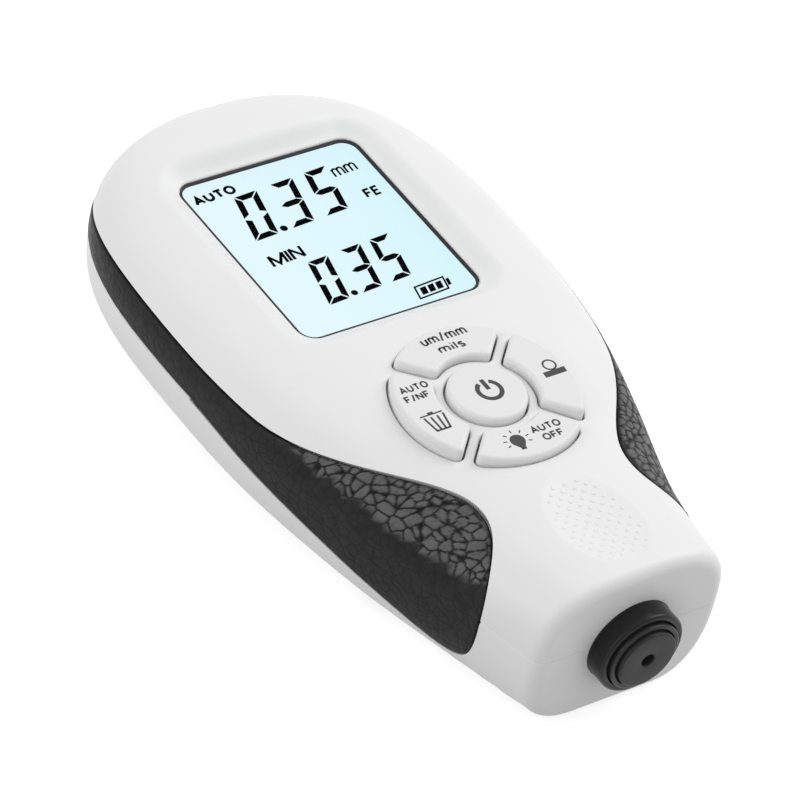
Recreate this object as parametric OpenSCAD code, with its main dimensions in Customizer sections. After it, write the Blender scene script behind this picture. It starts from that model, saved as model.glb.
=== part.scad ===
// Hand-held coating thickness gauge lying on its back: screen up (+Z), probe towards -Y.
// Millimetres. The origin is on the rest plane, under the middle of the overall box.

/* [Housing] */
// Y of the rear end of the housing
rear_y = 60.6; // [59:0.2:63]
// Y of the flat front face that carries the probe
face_y = -55.8; // [-57:0.2:-55]
// Y of the widest place
wide_y = 19; // [17:0.5:22]
// Half-width at the widest place
body_half = 32.7; // [32:0.1:34.5]
// Half-width beside the rear keys, at Y 0
shoulder_half = 31.3; // [31:0.1:32]
// Half-width below the keys, at Y -20
waist_half = 26.4; // [26:0.1:27.5]
// Half-width at the finger dimple, at Y -40
neck_half = 20.2; // [19.8:0.1:21.5]
// Half-width at the front face, before the edge is rounded
nose_half = 16.3; // [16:0.1:18]
// Squareness of the rear end seen from above (2 is an ellipse)
rear_power = 2.8; // [2.5:0.1:3.2]
// Height of the upper side
top_z = 25.6; // [25.4:0.1:26.2]
// Height of the upper side at the front face
nose_top_z = 26.4; // [26:0.1:27]
// Height of the joint between the two covers
split_z = 14; // [13.8:0.1:14.4]
// Radius of the round along the edge of the front face
edge_r = 2.6; // [2:0.1:3]
// Thickness of the cover walls
wall = 2.2; // [2:0.1:2.4]
// Share of the half-width that is flat on the underside
flat_share = 0.42; // [0.4:0.01:0.46]

/* [Finger dimple] */
// Y of the middle of the dimple
dimple_y = -41.8; // [-43:0.2:-40.6]
// Radius of the ball that scoops the dimple
dimple_ball = 45; // [40:1:55]
// Depth of the dimple
dimple_deep = 0.75; // [0.4:0.05:1]

/* [Side grips] */
// Y of the front end of a grip
grip_front = -44.9; // [-46:0.1:-43]
// Y of the rear tip of a grip
grip_rear = 56; // [54:0.5:57]
// Height of the rear band above the cover joint
grip_band = 5.6; // [5:0.1:6.2]
// Extra height of the front part of a grip
grip_swell = 4.3; // [3.5:0.1:4.5]
// Length over which the front corners are rounded
grip_round = 14; // [12:0.5:16]
// Fall of the lower edge for each mm towards the probe
grip_slope = 0.224; // [0.2:0.002:0.235]
// Depth of the recess in the covers
grip_depth = 1.1; // [0.9:0.05:1.2]
// How far a grip stands out of the cover
grip_proud = 0.15; // [0:0.05:0.3]
// Gap between a grip and the edge of its recess
grip_gap = 0.12; // [0.08:0.01:0.2]
// Glue gap behind a grip
grip_glue = 0.16; // [0.14:0.01:0.2]

/* [Display] */
// Y of the middle of the window
lcd_y = 26; // [25.5:0.1:26.5]
// Width of the visible window
window_w = 31.6; // [30.5:0.1:32]
// Length of the visible window
window_l = 36.6; // [35:0.1:37]
// Corner radius of the visible window
window_r = 3.2; // [2.5:0.1:4]
// Height of the upper face of the lens
lens_z = 22.5; // [22.3:0.1:22.7]
// Thickness of the lens
lens_t = 1.2; // [1:0.1:1.4]
// Thickness of the display glass
glass_t = 2; // [1.8:0.1:2.2]
// Thickness of the backlight
light_t = 2.6; // [2.4:0.1:2.8]
// Wall of the gasket on the lens
gasket_w = 0.45; // [0.35:0.05:0.6]
// Height of the gasket on the lens
gasket_h = 1.4; // [1:0.1:1.5]
// Width of the bezel slope round the window
bezel_w = 3.4; // [2.5:0.1:3.8]
// Rim of the lens under the cover, outside the window
lens_rim = 2.2; // [2:0.1:2.4]
// Corner radius of the pocket for the lens and the display
pocket_r = 0.9; // [0.8:0.1:1]
// Gap between the display pieces and the cover
lens_gap = 0.1; // [0.05:0.05:0.2]

/* [Keys] */
// Y of the middle of the key ring
key_y = -15.4; // [-15.8:0.1:-15]
// Height of the key tops
key_top = 26.75; // [26.6:0.05:27.2]
// Radius of the power key
power_r = 6.05; // [5.8:0.05:6.1]
// Inner radius of the arc keys
arc_in = 7.9; // [7.8:0.05:8.1]
// Outer radius of the arc keys
arc_out = 14.4; // [14:0.05:14.6]
// Width of the ribs between the arc keys
key_rib = 2; // [1.8:0.05:2.4]
// Radius of the upper edges of the keys
key_round = 0.7; // [0.4:0.05:0.9]
// Gap between a key and its hole
key_gap = 0.3; // [0.28:0.01:0.35]
// Height of the flat deck under the cover that stops the key flanges
deck_z = 22.4; // [22.3:0.05:22.5]
// Thickness of the key flanges
flange_t = 1; // [0.8:0.1:1.2]
// Height of the rubber domes under the keys
dome_h = 2.7; // [2.6:0.1:2.8]

/* [Probe] */
// Height of the probe axis
probe_z = 13; // [12.8:0.1:13.2]
// Outer radius of the collar
collar_r = 7.15; // [7:0.05:7.4]
// How far the collar stands out of the front face
collar_l = 3.4; // [3:0.1:3.8]
// Radius of the collar neck in the front wall
neck_r = 6.6; // [6.5:0.05:6.7]
// Outer radius of the sleeve in the collar
sleeve_r = 5.9; // [5.8:0.05:6]
// Radius of the sliding probe barrel
barrel_r = 4.92; // [4.8:0.02:5]
// How far the barrel stands out of the front face
barrel_l = 4.8; // [4.6:0.1:5.2]
// Radius of the hole in the probe face
tip_hole_r = 1.1; // [0.9:0.05:1.2]
// Radius of the magnetic core behind the hole
core_r = 1.5; // [1.4:0.05:1.7]
// Outer radius of the probe coil
coil_r = 3.66; // [3.5:0.02:3.68]
// Travel of the probe when it is pressed on a surface
probe_travel = 2; // [1:0.1:2.5]
// Running clearance between barrel and sleeve
run_gap = 0.05; // [0.02:0.01:0.1]
// Seating clearance of turned pieces pushed into each other
seat_gap = 0.03; // [0.02:0.01:0.05]
// Mean radius of the probe spring
spring_r = 5.3; // [5.2:0.05:5.4]
// Wire radius of the probe spring
spring_wire = 0.35; // [0.3:0.05:0.4]
// Turns of the probe spring
spring_turns = 5; // [4:1:6]

/* [Power supply] */
// Radius of a battery cell
cell_r = 5.25; // [5.1:0.05:5.25]
// Length of a battery cell with its button
cell_l = 44.5; // [43.5:0.1:44.5]
// Distance between the axes of the cells
cell_pitch = 11.4; // [11:0.1:11.6]
// Y of the front end of the cells
cell_y = -2.4; // [-2.8:0.1:-2]
// Width of the battery door
door_w = 23.6; // [23.4:0.1:24]
// Length of the battery door
door_l = 50; // [49:0.5:51]
// Thickness of the door plate
door_t = 1.2; // [1:0.1:1.3]
// Gap round the battery door
door_gap = 0.3; // [0.25:0.05:0.4]

/* [Board and screws] */
// Thickness of the circuit board
board_t = 1.6; // [1.5:0.1:1.6]
// Shank radius of the case screws
screw_r = 1.3; // [1.2:0.05:1.35]
// Head radius of the case screws
head_r = 2.5; // [2.3:0.1:2.6]
// Shank radius of the board screws
pin_r = 0.9; // [0.8:0.05:1]
// Length of the rubber plugs in the screw wells
plug_l = 4.4; // [3.6:0.1:4.6]
// Gap between a plug and its well
plug_gap = 0.04; // [0.02:0.01:0.06]

/* [Hidden] */
$fn = 64;
eps = 0.01;
half_st = [[face_y, nose_half], [-40, neck_half], [-20, waist_half], [0, shoulder_half],
    [wide_y, body_half]];
top_st = [[face_y, nose_top_z], [-30, top_z], [wide_y, top_z]];
pow_up_st = [[face_y, 3], [-36, 2.2], [-10, 3], [wide_y, 3.1]];
pow_lo_st = [[face_y, 2.5], [-35, 3.8], [0, 2.8], [wide_y, 2.5]];
end_rise = 6.5;
end_up = 16;
end_lo = 15;
grip_tail = 31;
grip_low_y = 8;
grip_low_end = 5;
grip_min = 1.2;
band_n = 3;
cap_n = 11;
in_n = 8;

glass_z = lens_z - lens_t;
light_z = glass_z - glass_t;
board_z = light_z - light_t;
sheet_t = 0.8;
dome_z = board_z + dome_h;
neck_end = face_y + 4.3;
guide_end = face_y + 19.8;
flange_y = neck_end + 1.2;
flange_end = flange_y + 1.5;
box_half = door_w / 2 - 0.8;
box_front = cell_y - 4;
box_rear = cell_y + cell_l + 1.2;
cell_z = door_t + 1 + 0.2 + cell_r;
door_y = (box_front + box_rear) / 2;
case_x = body_half - 10.2;
case_nose_x = waist_half - 7.9;
case_at = [[case_x, 28], [-case_x, 28], [case_nose_x, -24], [-case_nose_x, -24]];
case_top = [22.6, 22.6, 18.8, 18.8];
seat_z = 7;
post_r = 3.4;
board_half = window_w / 2 + 4.6;
board_rear = lcd_y + window_l / 2 + 7.7;
board_mid = lcd_y - window_l / 2 - 10.7;
board_at = [[board_half - 2.9, board_mid + 4], [2.9 - board_half, board_mid + 4],
    [window_w / 2 + 0.2, board_rear - 3], [-window_w / 2 - 0.2, board_rear - 3]];
sheet_r = arc_out + 0.6;
key_mid = (arc_in + arc_out) / 2 - 0.15;
stem_r = 2;
dome_at = [[0, 0], [key_mid, 0], [0, key_mid], [-key_mid, 0], [0, -key_mid]];

// Smooth curve through stations [y, value], level at the last one
function slope(s, i) = i == 0 ? (s[1][1] - s[0][1]) / (s[1][0] - s[0][0])
    : i == len(s) - 1 ? 0 : (s[i + 1][1] - s[i - 1][1]) / (s[i + 1][0] - s[i - 1][0]);
function span(s, y, i = 0) = i >= len(s) - 2 || y < s[i + 1][0] ? i : span(s, y, i + 1);
function curve(s, y) = y <= s[0][0] ? s[0][1] : y >= s[len(s) - 1][0] ? s[len(s) - 1][1]
    : let (i = span(s, y), h = s[i + 1][0] - s[i][0], t = (y - s[i][0]) / h)
        (2 * t * t * t - 3 * t * t + 1) * s[i][1] + (t * t * t - 2 * t * t + t) * h * slope(s, i)
        + (3 * t * t - 2 * t * t * t) * s[i + 1][1] + (t * t * t - t * t) * h * slope(s, i + 1);

// Section of the housing at y: half-width, height above and below the joint, squareness
function lip(y) = let (q = min(1, max(0, (face_y + edge_r - y) / edge_r)))
    edge_r * (1 - sqrt(1 - q * q));
function rear_half(y) = body_half
    * pow(max(0, 1 - pow((y - wide_y) / (rear_y - wide_y), rear_power)), 1 / rear_power);
function half_w(y) = y > wide_y ? rear_half(y) : curve(half_st, y) - lip(y);
function tail(y, h, r) = let (q = min(1, max(0, (y - rear_y + r) / r)))
    end_rise + (h - end_rise) * sqrt(1 - q * q);
function h_up(y) = tail(y, curve(top_st, y) - split_z, end_up) - lip(y);
function h_lo(y) = tail(y, split_z, end_lo) - lip(y);
function n_up(y) = curve(pow_up_st, y);
function n_lo(y) = curve(pow_lo_st, y);

// Point of the section at height z, moved inwards by d
function at_up(y, z, d) = let (a = half_w(y), h = h_up(y), n = n_up(y), w = (z - split_z) / h,
    u = pow(max(0, 1 - pow(w, n)), 1 / n), g = [pow(u, n - 1) / a, pow(w, n - 1) / h])
    [a * u, z] - d * g / norm(g);
function at_lo(y, z, d) = let (a = half_w(y), f = flat_share * a, h = h_lo(y), n = n_lo(y),
    w = (split_z - z) / h, u = pow(max(0, 1 - pow(w, n)), 1 / n),
    g = [pow(u, n - 1) / (a - f), -pow(w, n - 1) / h])
    [f + (a - f) * u, z] - d * g / norm(g);
function at(y, z, d) = z >= split_z ? at_up(y, z, d) : at_lo(y, z, d);

// Height of the grip above and below the joint
function ramp(s) = let (t = min(1, max(0, s))) t * t * (3 - 2 * t);
function front_end(y, p) = let (s = (grip_front + grip_round - y) / grip_round)
    s <= 0 ? 1 : pow(max(0, 1 - pow(s, p)), 1 / p);
function rear_end(y) = let (s = (y - grip_rear + grip_tail) / grip_tail)
    s <= 0 ? 1 : pow(max(0, 1 - pow(s, 2.2)), 1 / 2.2);
function band_up(y) = max(grip_min,
    (grip_band + grip_swell * ramp(-y / 32)) * front_end(y, 2.6) * rear_end(y));
function band_lo(y) = max(grip_min, grip_slope * (grip_low_y - y) * front_end(y, 3.2));
function side_gap(y, p) = grip_gap + 0.03 + 0.45 * (1 - front_end(y, p));
function deep_up(y) = y >= grip_front && y <= grip_rear ? grip_depth : 0;
function deep_lo(y) = y >= grip_front && y <= grip_low_end ? grip_depth : 0;

// Stations along the housing, closer together where the shape turns
cols = concat([for (k = [0 : 4]) face_y + edge_r * (1 - cos(22.5 * k))],
    [(face_y + edge_r + grip_front) / 2 - 0.5, (face_y + edge_r + grip_front) / 2 + 2],
    [grip_front - 0.06, grip_front, grip_front + grip_gap],
    [for (k = [1 : 7]) grip_front + grip_round * (1 - cos(90 * k / 7))],
    [for (k = [1 : 7]) grip_front + grip_round + (grip_low_end - grip_front - grip_round) * k / 7],
    [grip_low_end + 0.06], [for (k = [1 : 3]) grip_low_end + (wide_y - grip_low_end) * k / 3],
    [for (k = [1 : 5]) wide_y + (rear_y - wide_y) * pow(sin(10 * k), 2 / rear_power)],
    [grip_rear - grip_gap, grip_rear, grip_rear + 0.06],
    [for (t = [65, 72, 78, 83, 87.5]) wide_y + (rear_y - wide_y) * pow(sin(t), 2 / rear_power)]);
grip_cols = concat([grip_front + grip_gap],
    [for (y = cols) if (y > grip_front + 0.2 && y < grip_rear - 0.2) y], [grip_rear - grip_gap]);

// Half sections from the joint to the middle: outside (with the grip recess) and inside
function up_rows(y) = let (a = half_w(y), h = h_up(y), n = n_up(y), b = band_up(y),
    t0 = asin(pow(b / h, n / 2)))
    concat([for (k = [0 : band_n]) at_up(y, split_z + b * k / band_n, deep_up(y))],
        [for (k = [0 : cap_n]) let (t = t0 + (90 - t0) * k / cap_n)
            [a * pow(cos(t), 2 / n), split_z + h * pow(sin(t), 2 / n)]]);
function lo_rows(y) = let (a = half_w(y), f = flat_share * a, h = h_lo(y), n = n_lo(y),
    b = band_lo(y), t0 = asin(pow(b / h, n / 2)))
    concat([for (k = [0 : band_n]) at_lo(y, split_z - b * k / band_n, deep_lo(y))],
        [for (k = [0 : cap_n]) let (t = t0 + (90 - t0) * k / cap_n)
            [f + (a - f) * pow(cos(t), 2 / n), split_z - h * pow(sin(t), 2 / n)]]);
function in_y(y) = y > wide_y ? wide_y + (y - wide_y) * (rear_y - wall - wide_y) / (rear_y - wide_y)
    : wide_y - (wide_y - y) * (wide_y - face_y - wall) / (wide_y - face_y);
function in_half(y) = y > wide_y ? rear_half(y) * (body_half - wall) / body_half
    : curve(half_st, in_y(y)) - wall;
function in_up(y) = let (a = in_half(y), n = n_up(y),
    h = tail(y, curve(top_st, in_y(y)) - split_z, end_up) - wall)
    [for (k = [0 : in_n]) let (t = 90 * k / in_n)
        [a * pow(cos(t), 2 / n), split_z + h * pow(sin(t), 2 / n)]];
function in_lo(y) = let (a = in_half(y), f = flat_share * a, n = n_lo(y),
    h = tail(y, split_z, end_lo) - wall)
    [for (k = [0 : in_n]) let (t = 90 * k / in_n)
        [f + (a - f) * pow(cos(t), 2 / n), split_z - h * pow(sin(t), 2 / n)]];

function both(p) = let (m = len(p) - (p[len(p) - 1][0] > 0 ? 1 : 2))
    concat(p, [for (k = [m : -1 : 0]) [-p[k][0], p[k][1]]]);
function tris(q) = [for (t = [[q[0], q[1], q[2]], [q[0], q[2], q[3]]])
    if (t[0] != t[1] && t[1] != t[2] && t[2] != t[0]) t];
function flip(f) = [for (t = f) [t[2], t[1], t[0]]];

// Closed shell from outer and inner half sections; flush[i] joins the two rows at the recess edge
module shell(outer, inner, flush, upside) {
    m = len(cols);
    ro = len(both(outer[0]));
    ri = len(both(inner[0]));
    function o(i, j) = i * ro + (!flush[i] ? j : j == band_n + 1 ? band_n
        : j == ro - 2 - band_n ? ro - 1 - band_n : j);
    function n(i, j) = m * ro + i * ri + j;
    pts = concat([for (i = [0 : m - 1]) for (q = both(outer[i])) [q[0], cols[i], q[1]]],
        [for (i = [0 : m - 1]) for (q = both(inner[i])) [q[0], in_y(cols[i]), q[1]]]);
    quads = concat(
        [for (i = [0 : m - 2]) for (j = [0 : ro - 2]) j < ro / 2 - 1
            ? [o(i, j), o(i, j + 1), o(i + 1, j + 1), o(i + 1, j)]
            : [o(i, j + 1), o(i + 1, j + 1), o(i + 1, j), o(i, j)]],
        [for (i = [0 : m - 2]) for (j = [0 : ri - 2]) [n(i, j), n(i + 1, j), n(i + 1, j + 1), n(i, j + 1)]],
        [for (i = [0 : m - 2]) [o(i, 0), o(i + 1, 0), n(i + 1, 0), n(i, 0)]],
        [for (i = [0 : m - 2]) [o(i, ro - 1), n(i, ri - 1), n(i + 1, ri - 1), o(i + 1, ro - 1)]],
        [for (j = [0 : floor((ro - 3) / 2)]) [o(0, j), o(0, ro - 1 - j), o(0, ro - 2 - j), o(0, j + 1)]],
        [for (j = [0 : floor((ro - 3) / 2)])
            [o(m - 1, j), o(m - 1, j + 1), o(m - 1, ro - 2 - j), o(m - 1, ro - 1 - j)]],
        [for (j = [0 : floor((ri - 3) / 2)]) [n(0, j), n(0, j + 1), n(0, ri - 2 - j), n(0, ri - 1 - j)]],
        [for (j = [0 : floor((ri - 3) / 2)])
            [n(m - 1, j), n(m - 1, ri - 1 - j), n(m - 1, ri - 2 - j), n(m - 1, j + 1)]],
        [[o(0, 0), n(0, 0), n(0, ri - 1), o(0, ro - 1)],
         [o(m - 1, 0), o(m - 1, ro - 1), n(m - 1, ri - 1), n(m - 1, 0)]]);
    faces = [for (q = quads) for (t = tris(q)) t];
    polyhedron(pts, upside ? faces : flip(faces));
}

// Curved slab between two grids of points of the same size
module slab(outer, inner) {
    m = len(outer);
    r = len(outer[0]);
    function o(i, j) = i * r + j;
    function n(i, j) = m * r + i * r + j;
    quads = concat(
        [for (i = [0 : m - 2]) for (j = [0 : r - 2]) [o(i, j), o(i, j + 1), o(i + 1, j + 1), o(i + 1, j)]],
        [for (i = [0 : m - 2]) for (j = [0 : r - 2]) [n(i, j), n(i + 1, j), n(i + 1, j + 1), n(i, j + 1)]],
        [for (i = [0 : m - 2]) [o(i, 0), o(i + 1, 0), n(i + 1, 0), n(i, 0)]],
        [for (i = [0 : m - 2]) [o(i, r - 1), n(i, r - 1), n(i + 1, r - 1), o(i + 1, r - 1)]],
        [for (j = [0 : r - 2]) [o(0, j), n(0, j), n(0, j + 1), o(0, j + 1)]],
        [for (j = [0 : r - 2]) [o(m - 1, j), o(m - 1, j + 1), n(m - 1, j + 1), n(m - 1, j)]]);
    polyhedron(concat([for (c = outer) for (p = c) p], [for (c = inner) for (p = c) p]),
        [for (q = quads) for (t = tris(q)) t]);
}

// Round wire wound along Y from y0 to y1, radius r0 to r1
module coil_wire(y0, y1, r0, r1, wire, turns, step, sides) {
    m = turns * step;
    pts = [for (i = [0 : m]) let (s = i / m, a = 360 * turns * s, r = r0 + (r1 - r0) * s,
        y = y0 + (y1 - y0) * s) for (k = [0 : sides - 1]) let (b = 360 * k / sides)
        [(r + wire * cos(b)) * cos(a), y + wire * sin(b), (r + wire * cos(b)) * sin(a)]];
    polyhedron(pts, concat(
        [for (i = [0 : m - 1]) for (k = [0 : sides - 1]) let (l = (k + 1) % sides)
            for (t = tris([i * sides + k, (i + 1) * sides + k, (i + 1) * sides + l, i * sides + l])) t],
        [[for (k = [0 : sides - 1]) k]], [[for (k = [sides - 1 : -1 : 0]) m * sides + k]]));
}

module round_rect(w, l, r) {
    square([w - 2 * r, l], center = true);
    square([w, l - 2 * r], center = true);
    for (x = [-1, 1], y = [-1, 1]) translate([x * (w / 2 - r), y * (l / 2 - r)]) circle(r);
}
module plate(w, l, r, z0, z1) {
    translate([0, lcd_y, z0]) linear_extrude(z1 - z0) round_rect(w, l, r);
}
module box(x0, x1, y0, y1, z0, z1) {
    translate([x0, y0, z0]) cube([x1 - x0, y1 - y0, z1 - z0]);
}
module post(p, r, z0, z1) {
    translate([p[0], p[1], z0]) cylinder(r = r, h = z1 - z0);
}
// Turned piece on the probe axis from a profile drawn as (radius, y)
module turned() {
    translate([0, 0, probe_z]) rotate([-90, 0, 0]) rotate_extrude() children();
}
module band(r0, r1, y0, y1) {
    translate([r0, y0]) square([r1 - r0, y1 - y0]);
}
// Sector between two diagonal ribs that stay parallel
module sector(rib) {
    d = rib / 2 / sin(45);
    polygon([[d, 0], [d + 30, 30], [d + 30, -30]]);
}
module arc_hole(turn, gap) {
    rotate(turn) intersection() {
        difference() { circle(arc_out + gap); circle(arc_in - gap); }
        sector(key_rib - 2 * gap);
    }
}
module key_turned(r0, r1, z0, z1) {
    rotate_extrude() {
        translate([r0, z0]) square([r1 - r0, z1 - z0 - key_round]);
        translate([r0 == 0 ? 0 : r0 + key_round, z0])
            square([r1 - key_round - (r0 == 0 ? 0 : r0 + key_round), z1 - z0]);
        intersection() {
            translate([r1 - key_round, z1 - key_round]) circle(key_round);
            translate([r0, z0]) square([r1 - r0, z1 - z0]);
        }
        if (r0 > 0) translate([r0 + key_round, z1 - key_round]) circle(key_round);
    }
}
module arc_key(turn) {
    translate([0, key_y, 0]) rotate(turn) {
        intersection() {
            key_turned(arc_in, arc_out, deck_z - eps, key_top);
            translate([0, 0, deck_z - 1]) linear_extrude(10) sector(key_rib);
        }
        translate([0, 0, deck_z - flange_t]) linear_extrude(flange_t) intersection() {
            difference() { circle(arc_out + 0.8); circle(arc_in - 0.75); }
            sector(key_rib - 1.2);
        }
        translate([key_mid, 0, dome_z]) cylinder(r = stem_r, h = deck_z - flange_t - dome_z + eps);
    }
}
module screw(p, r, rh, z_head, t_head, z_end) {
    difference() {
        union() {
            post(p, rh, z_head - t_head, z_head);
            post(p, r, z_head - eps, z_end);
        }
        for (a = [0, 90]) translate([p[0], p[1], z_head - t_head]) rotate(a)
            cube([rh * 1.2, rh * 0.28, t_head], center = true);
    }
}

module top_cover() {
    color("whitesmoke") difference() {
        union() {
            shell([for (y = cols) up_rows(y)], [for (y = cols) in_up(y)],
                [for (y = cols) deep_up(y) == 0], true);
            plate(window_w + 8.4, window_l + 8.4, 5, light_z + 0.2, lens_z + 1.4);
            translate([0, key_y, deck_z]) cylinder(r = arc_out + 2.4, h = 1.6);
            for (k = [0 : 3]) post(case_at[k], post_r, split_z, case_top[k]);
            for (p = board_at) post(p, 2.4, board_z, 22.9);
        }
        plate(window_w + 2 * gasket_w + 2 * lens_gap, window_l + 2 * gasket_w + 2 * lens_gap,
            window_r + gasket_w, lens_z - 1, top_z + 3);
        plate(window_w + 2 * lens_rim + 2 * lens_gap, window_l + 2 * lens_rim + 2 * lens_gap, pocket_r,
            light_z - 1, lens_z);
        hull() {
            plate(window_w + 2 * gasket_w + 2 * lens_gap, window_l + 2 * gasket_w + 2 * lens_gap,
                window_r + gasket_w, lens_z + gasket_h, lens_z + gasket_h + eps);
            plate(window_w + 2 * gasket_w + 2 * bezel_w, window_l + 2 * gasket_w + 2 * bezel_w,
                window_r + gasket_w + bezel_w, top_z + 0.3, top_z + 0.3 + eps);
        }
        translate([0, key_y, deck_z - 4]) cylinder(r = arc_out + 1.5, h = 4);
        translate([0, key_y, deck_z - 1]) {
            cylinder(r = power_r + key_gap, h = 8);
            for (a = [0 : 90 : 270]) linear_extrude(8) arc_hole(a, key_gap);
        }
        translate([0, dimple_y, curve(top_st, dimple_y) + dimple_ball - dimple_deep])
            sphere(dimple_ball, $fn = 96);
        for (k = [0 : 3]) post(case_at[k], screw_r + seat_gap, split_z - 1, case_top[k] - 1.2);
        for (p = board_at) post(p, pin_r + seat_gap, board_z - 1, board_z + 4.5);
        turned() band(0, neck_r + seat_gap, face_y - 1, face_y + wall + 0.5);
    }
}
module bottom_cover() {
    color("gainsboro") difference() {
        union() {
            shell([for (y = cols) lo_rows(y)], [for (y = cols) in_lo(y)],
                [for (y = cols) deep_lo(y) == 0], false);
            difference() {
                box(-box_half - 1.4, box_half + 1.4, box_front - 1.4, box_rear + 1.4, 1.5, 12.6);
                box(-box_half, box_half, box_front, box_rear, 1, 13);
            }
            for (p = case_at) post(p, 3.8, 3, split_z);
            for (y = [-48, -38]) box(-10, 10, y - 0.8, y + 0.8, 1.5, probe_z);
        }
        translate([0, door_y, -1]) linear_extrude(door_t + 1)
            round_rect(door_w + 2 * door_gap, door_l + 2 * door_gap, 2);
        box(-box_half + 0.6, box_half - 0.6, box_front + 0.6, box_rear - 0.6, -1, 3);
        for (p = case_at) post(p, head_r + 0.4, -1, seat_z);
        for (p = case_at) post(p, screw_r + 0.2, seat_z - 1, split_z + 1);
        turned() band(0, neck_r + 1.4 + seat_gap, face_y + wall + 0.1, guide_end + 1);
        turned() band(0, neck_r + seat_gap, face_y - 1, face_y + wall + 0.5);
    }
}
module grip_half() {
    rows = [for (y = grip_cols) let (b = band_up(y) - side_gap(y, 2.6), c = band_lo(y) - side_gap(y, 3.2))
        y <= grip_low_end ? concat([for (k = [band_n : -1 : 1]) split_z - c * k / band_n],
            [for (k = [0 : band_n]) split_z + b * k / band_n])
        : [for (k = [0 : 2 * band_n]) split_z + grip_gap + (b - grip_gap) * k / (2 * band_n)]];
    function grid(d) = [for (i = [0 : len(grip_cols) - 1]) [for (z = rows[i])
        let (q = at(grip_cols[i], z, d)) [q[0], grip_cols[i], q[1]]]];
    slab(grid(-grip_proud), grid(grip_depth - grip_glue));
}
module left_grip() { color("#2b2b2d") mirror([1, 0, 0]) grip_half(); }
module right_grip() { color("#2b2b2d") grip_half(); }
module battery_door() {
    color("gainsboro") difference() {
        union() {
            translate([0, door_y, 0]) linear_extrude(door_t) round_rect(door_w, door_l, 1.7);
            box(-box_half + 0.9, box_half - 0.9, box_front + 0.9, box_rear - 0.9, door_t - eps, 2.2);
        }
        for (k = [0 : 4]) box(-6, 6, box_rear - 6 - 1.6 * k, box_rear - 5.2 - 1.6 * k, -1, 0.5);
    }
}
module window_gasket() {
    color("#303236") difference() {
        plate(window_w + 2 * gasket_w, window_l + 2 * gasket_w, window_r + gasket_w, lens_z,
            lens_z + gasket_h);
        plate(window_w, window_l, window_r, lens_z - 1, lens_z + 3);
    }
}
module lcd_window() {
    color([0.85, 0.95, 0.97, 0.4])
        plate(window_w + 2 * lens_rim, window_l + 2 * lens_rim, pocket_r, glass_z, lens_z);
}
module lcd_panel() {
    color("#d6f3fa") plate(window_w + 2 * lens_rim - 0.4, window_l + 2 * lens_rim - 0.4, pocket_r,
        light_z, glass_z);
}
module backlight_panel() {
    color("white") box(-window_w / 2 - 2, window_w / 2 + 2, lcd_y - window_l / 2 + 2,
        lcd_y + window_l / 2 + 2, board_z, light_z);
}
module zebra_connector() {
    color("#c98f94") box(-window_w / 2, window_w / 2, lcd_y - window_l / 2 - 1.6,
        lcd_y - window_l / 2 + 0.8, board_z, light_z);
}
module main_board() {
    color("darkgreen") difference() {
        union() {
            box(-board_half, board_half, board_mid, board_rear, board_z - board_t, board_z);
            box(-sheet_r, sheet_r, key_y - sheet_r - 1.1, board_mid + 1, board_z - board_t, board_z);
            box(-6, 6, -16, -4, board_z - board_t - 0.9, board_z - board_t + eps);
            box(-13, -9, -26, -20, board_z - board_t - 0.9, board_z - board_t + eps);
        }
        for (p = board_at) post(p, pin_r + 0.15, board_z - 4, board_z + 1);
        for (p = case_at) post(p, post_r + 0.4, board_z - 4, board_z + 1);
    }
}
module key_sheet() {
    color("#d9d9d4") translate([0, key_y, 0]) difference() {
        union() {
            translate([0, 0, board_z]) cylinder(r = sheet_r, h = sheet_t);
            for (p = dome_at) translate([p[0], p[1], board_z])
                cylinder(r1 = stem_r + 1.2, r2 = stem_r + 0.2, h = dome_h);
        }
        for (p = dome_at) translate([p[0], p[1], board_z - eps])
            cylinder(r1 = stem_r + 0.4, r2 = stem_r - 0.4, h = dome_h - 1.2);
    }
}
module power_button() {
    color("whitesmoke") translate([0, key_y, 0]) {
        key_turned(0, power_r, deck_z - eps, key_top);
        translate([0, 0, deck_z - flange_t]) cylinder(r = power_r + 0.7, h = flange_t);
        translate([0, 0, dome_z]) cylinder(r = stem_r, h = deck_z - flange_t - dome_z + eps);
    }
}
module calibrate_button() { color("whitesmoke") arc_key(0); }
module unit_button() { color("whitesmoke") arc_key(90); }
module mode_button() { color("whitesmoke") arc_key(180); }
module light_button() { color("whitesmoke") arc_key(270); }
module probe_collar() {
    f = face_y - collar_l;
    color("#1c1c1e") turned() difference() {
        union() {
            band(0, collar_r - 0.5, f, face_y);
            band(0, collar_r, f + 0.5, face_y);
            translate([collar_r - 0.5, f + 0.5]) circle(0.5);
            band(0, neck_r, face_y - eps, neck_end);
        }
        band(-1, sleeve_r + seat_gap, f - 1, neck_end + 1);
        band(-1, sleeve_r + 0.2, f - 1, f + 0.4);
    }
}
module probe_sleeve() {
    color("#2a2a2c") turned() difference() {
        union() {
            band(0, sleeve_r, face_y - collar_l - 0.7, neck_end + eps);
            band(0, neck_r - 0.05, neck_end, flange_y);
        }
        band(-1, barrel_r + run_gap, face_y - 9, flange_y + 1);
    }
}
module probe_guide() {
    color("#8a8a8c") turned() difference() {
        band(0, neck_r + 1.4, face_y + wall + 0.1, guide_end);
        band(-1, neck_r + seat_gap, face_y, guide_end - 1.5);
        band(-1, 1.5, face_y, guide_end + 1);
    }
}
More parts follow.
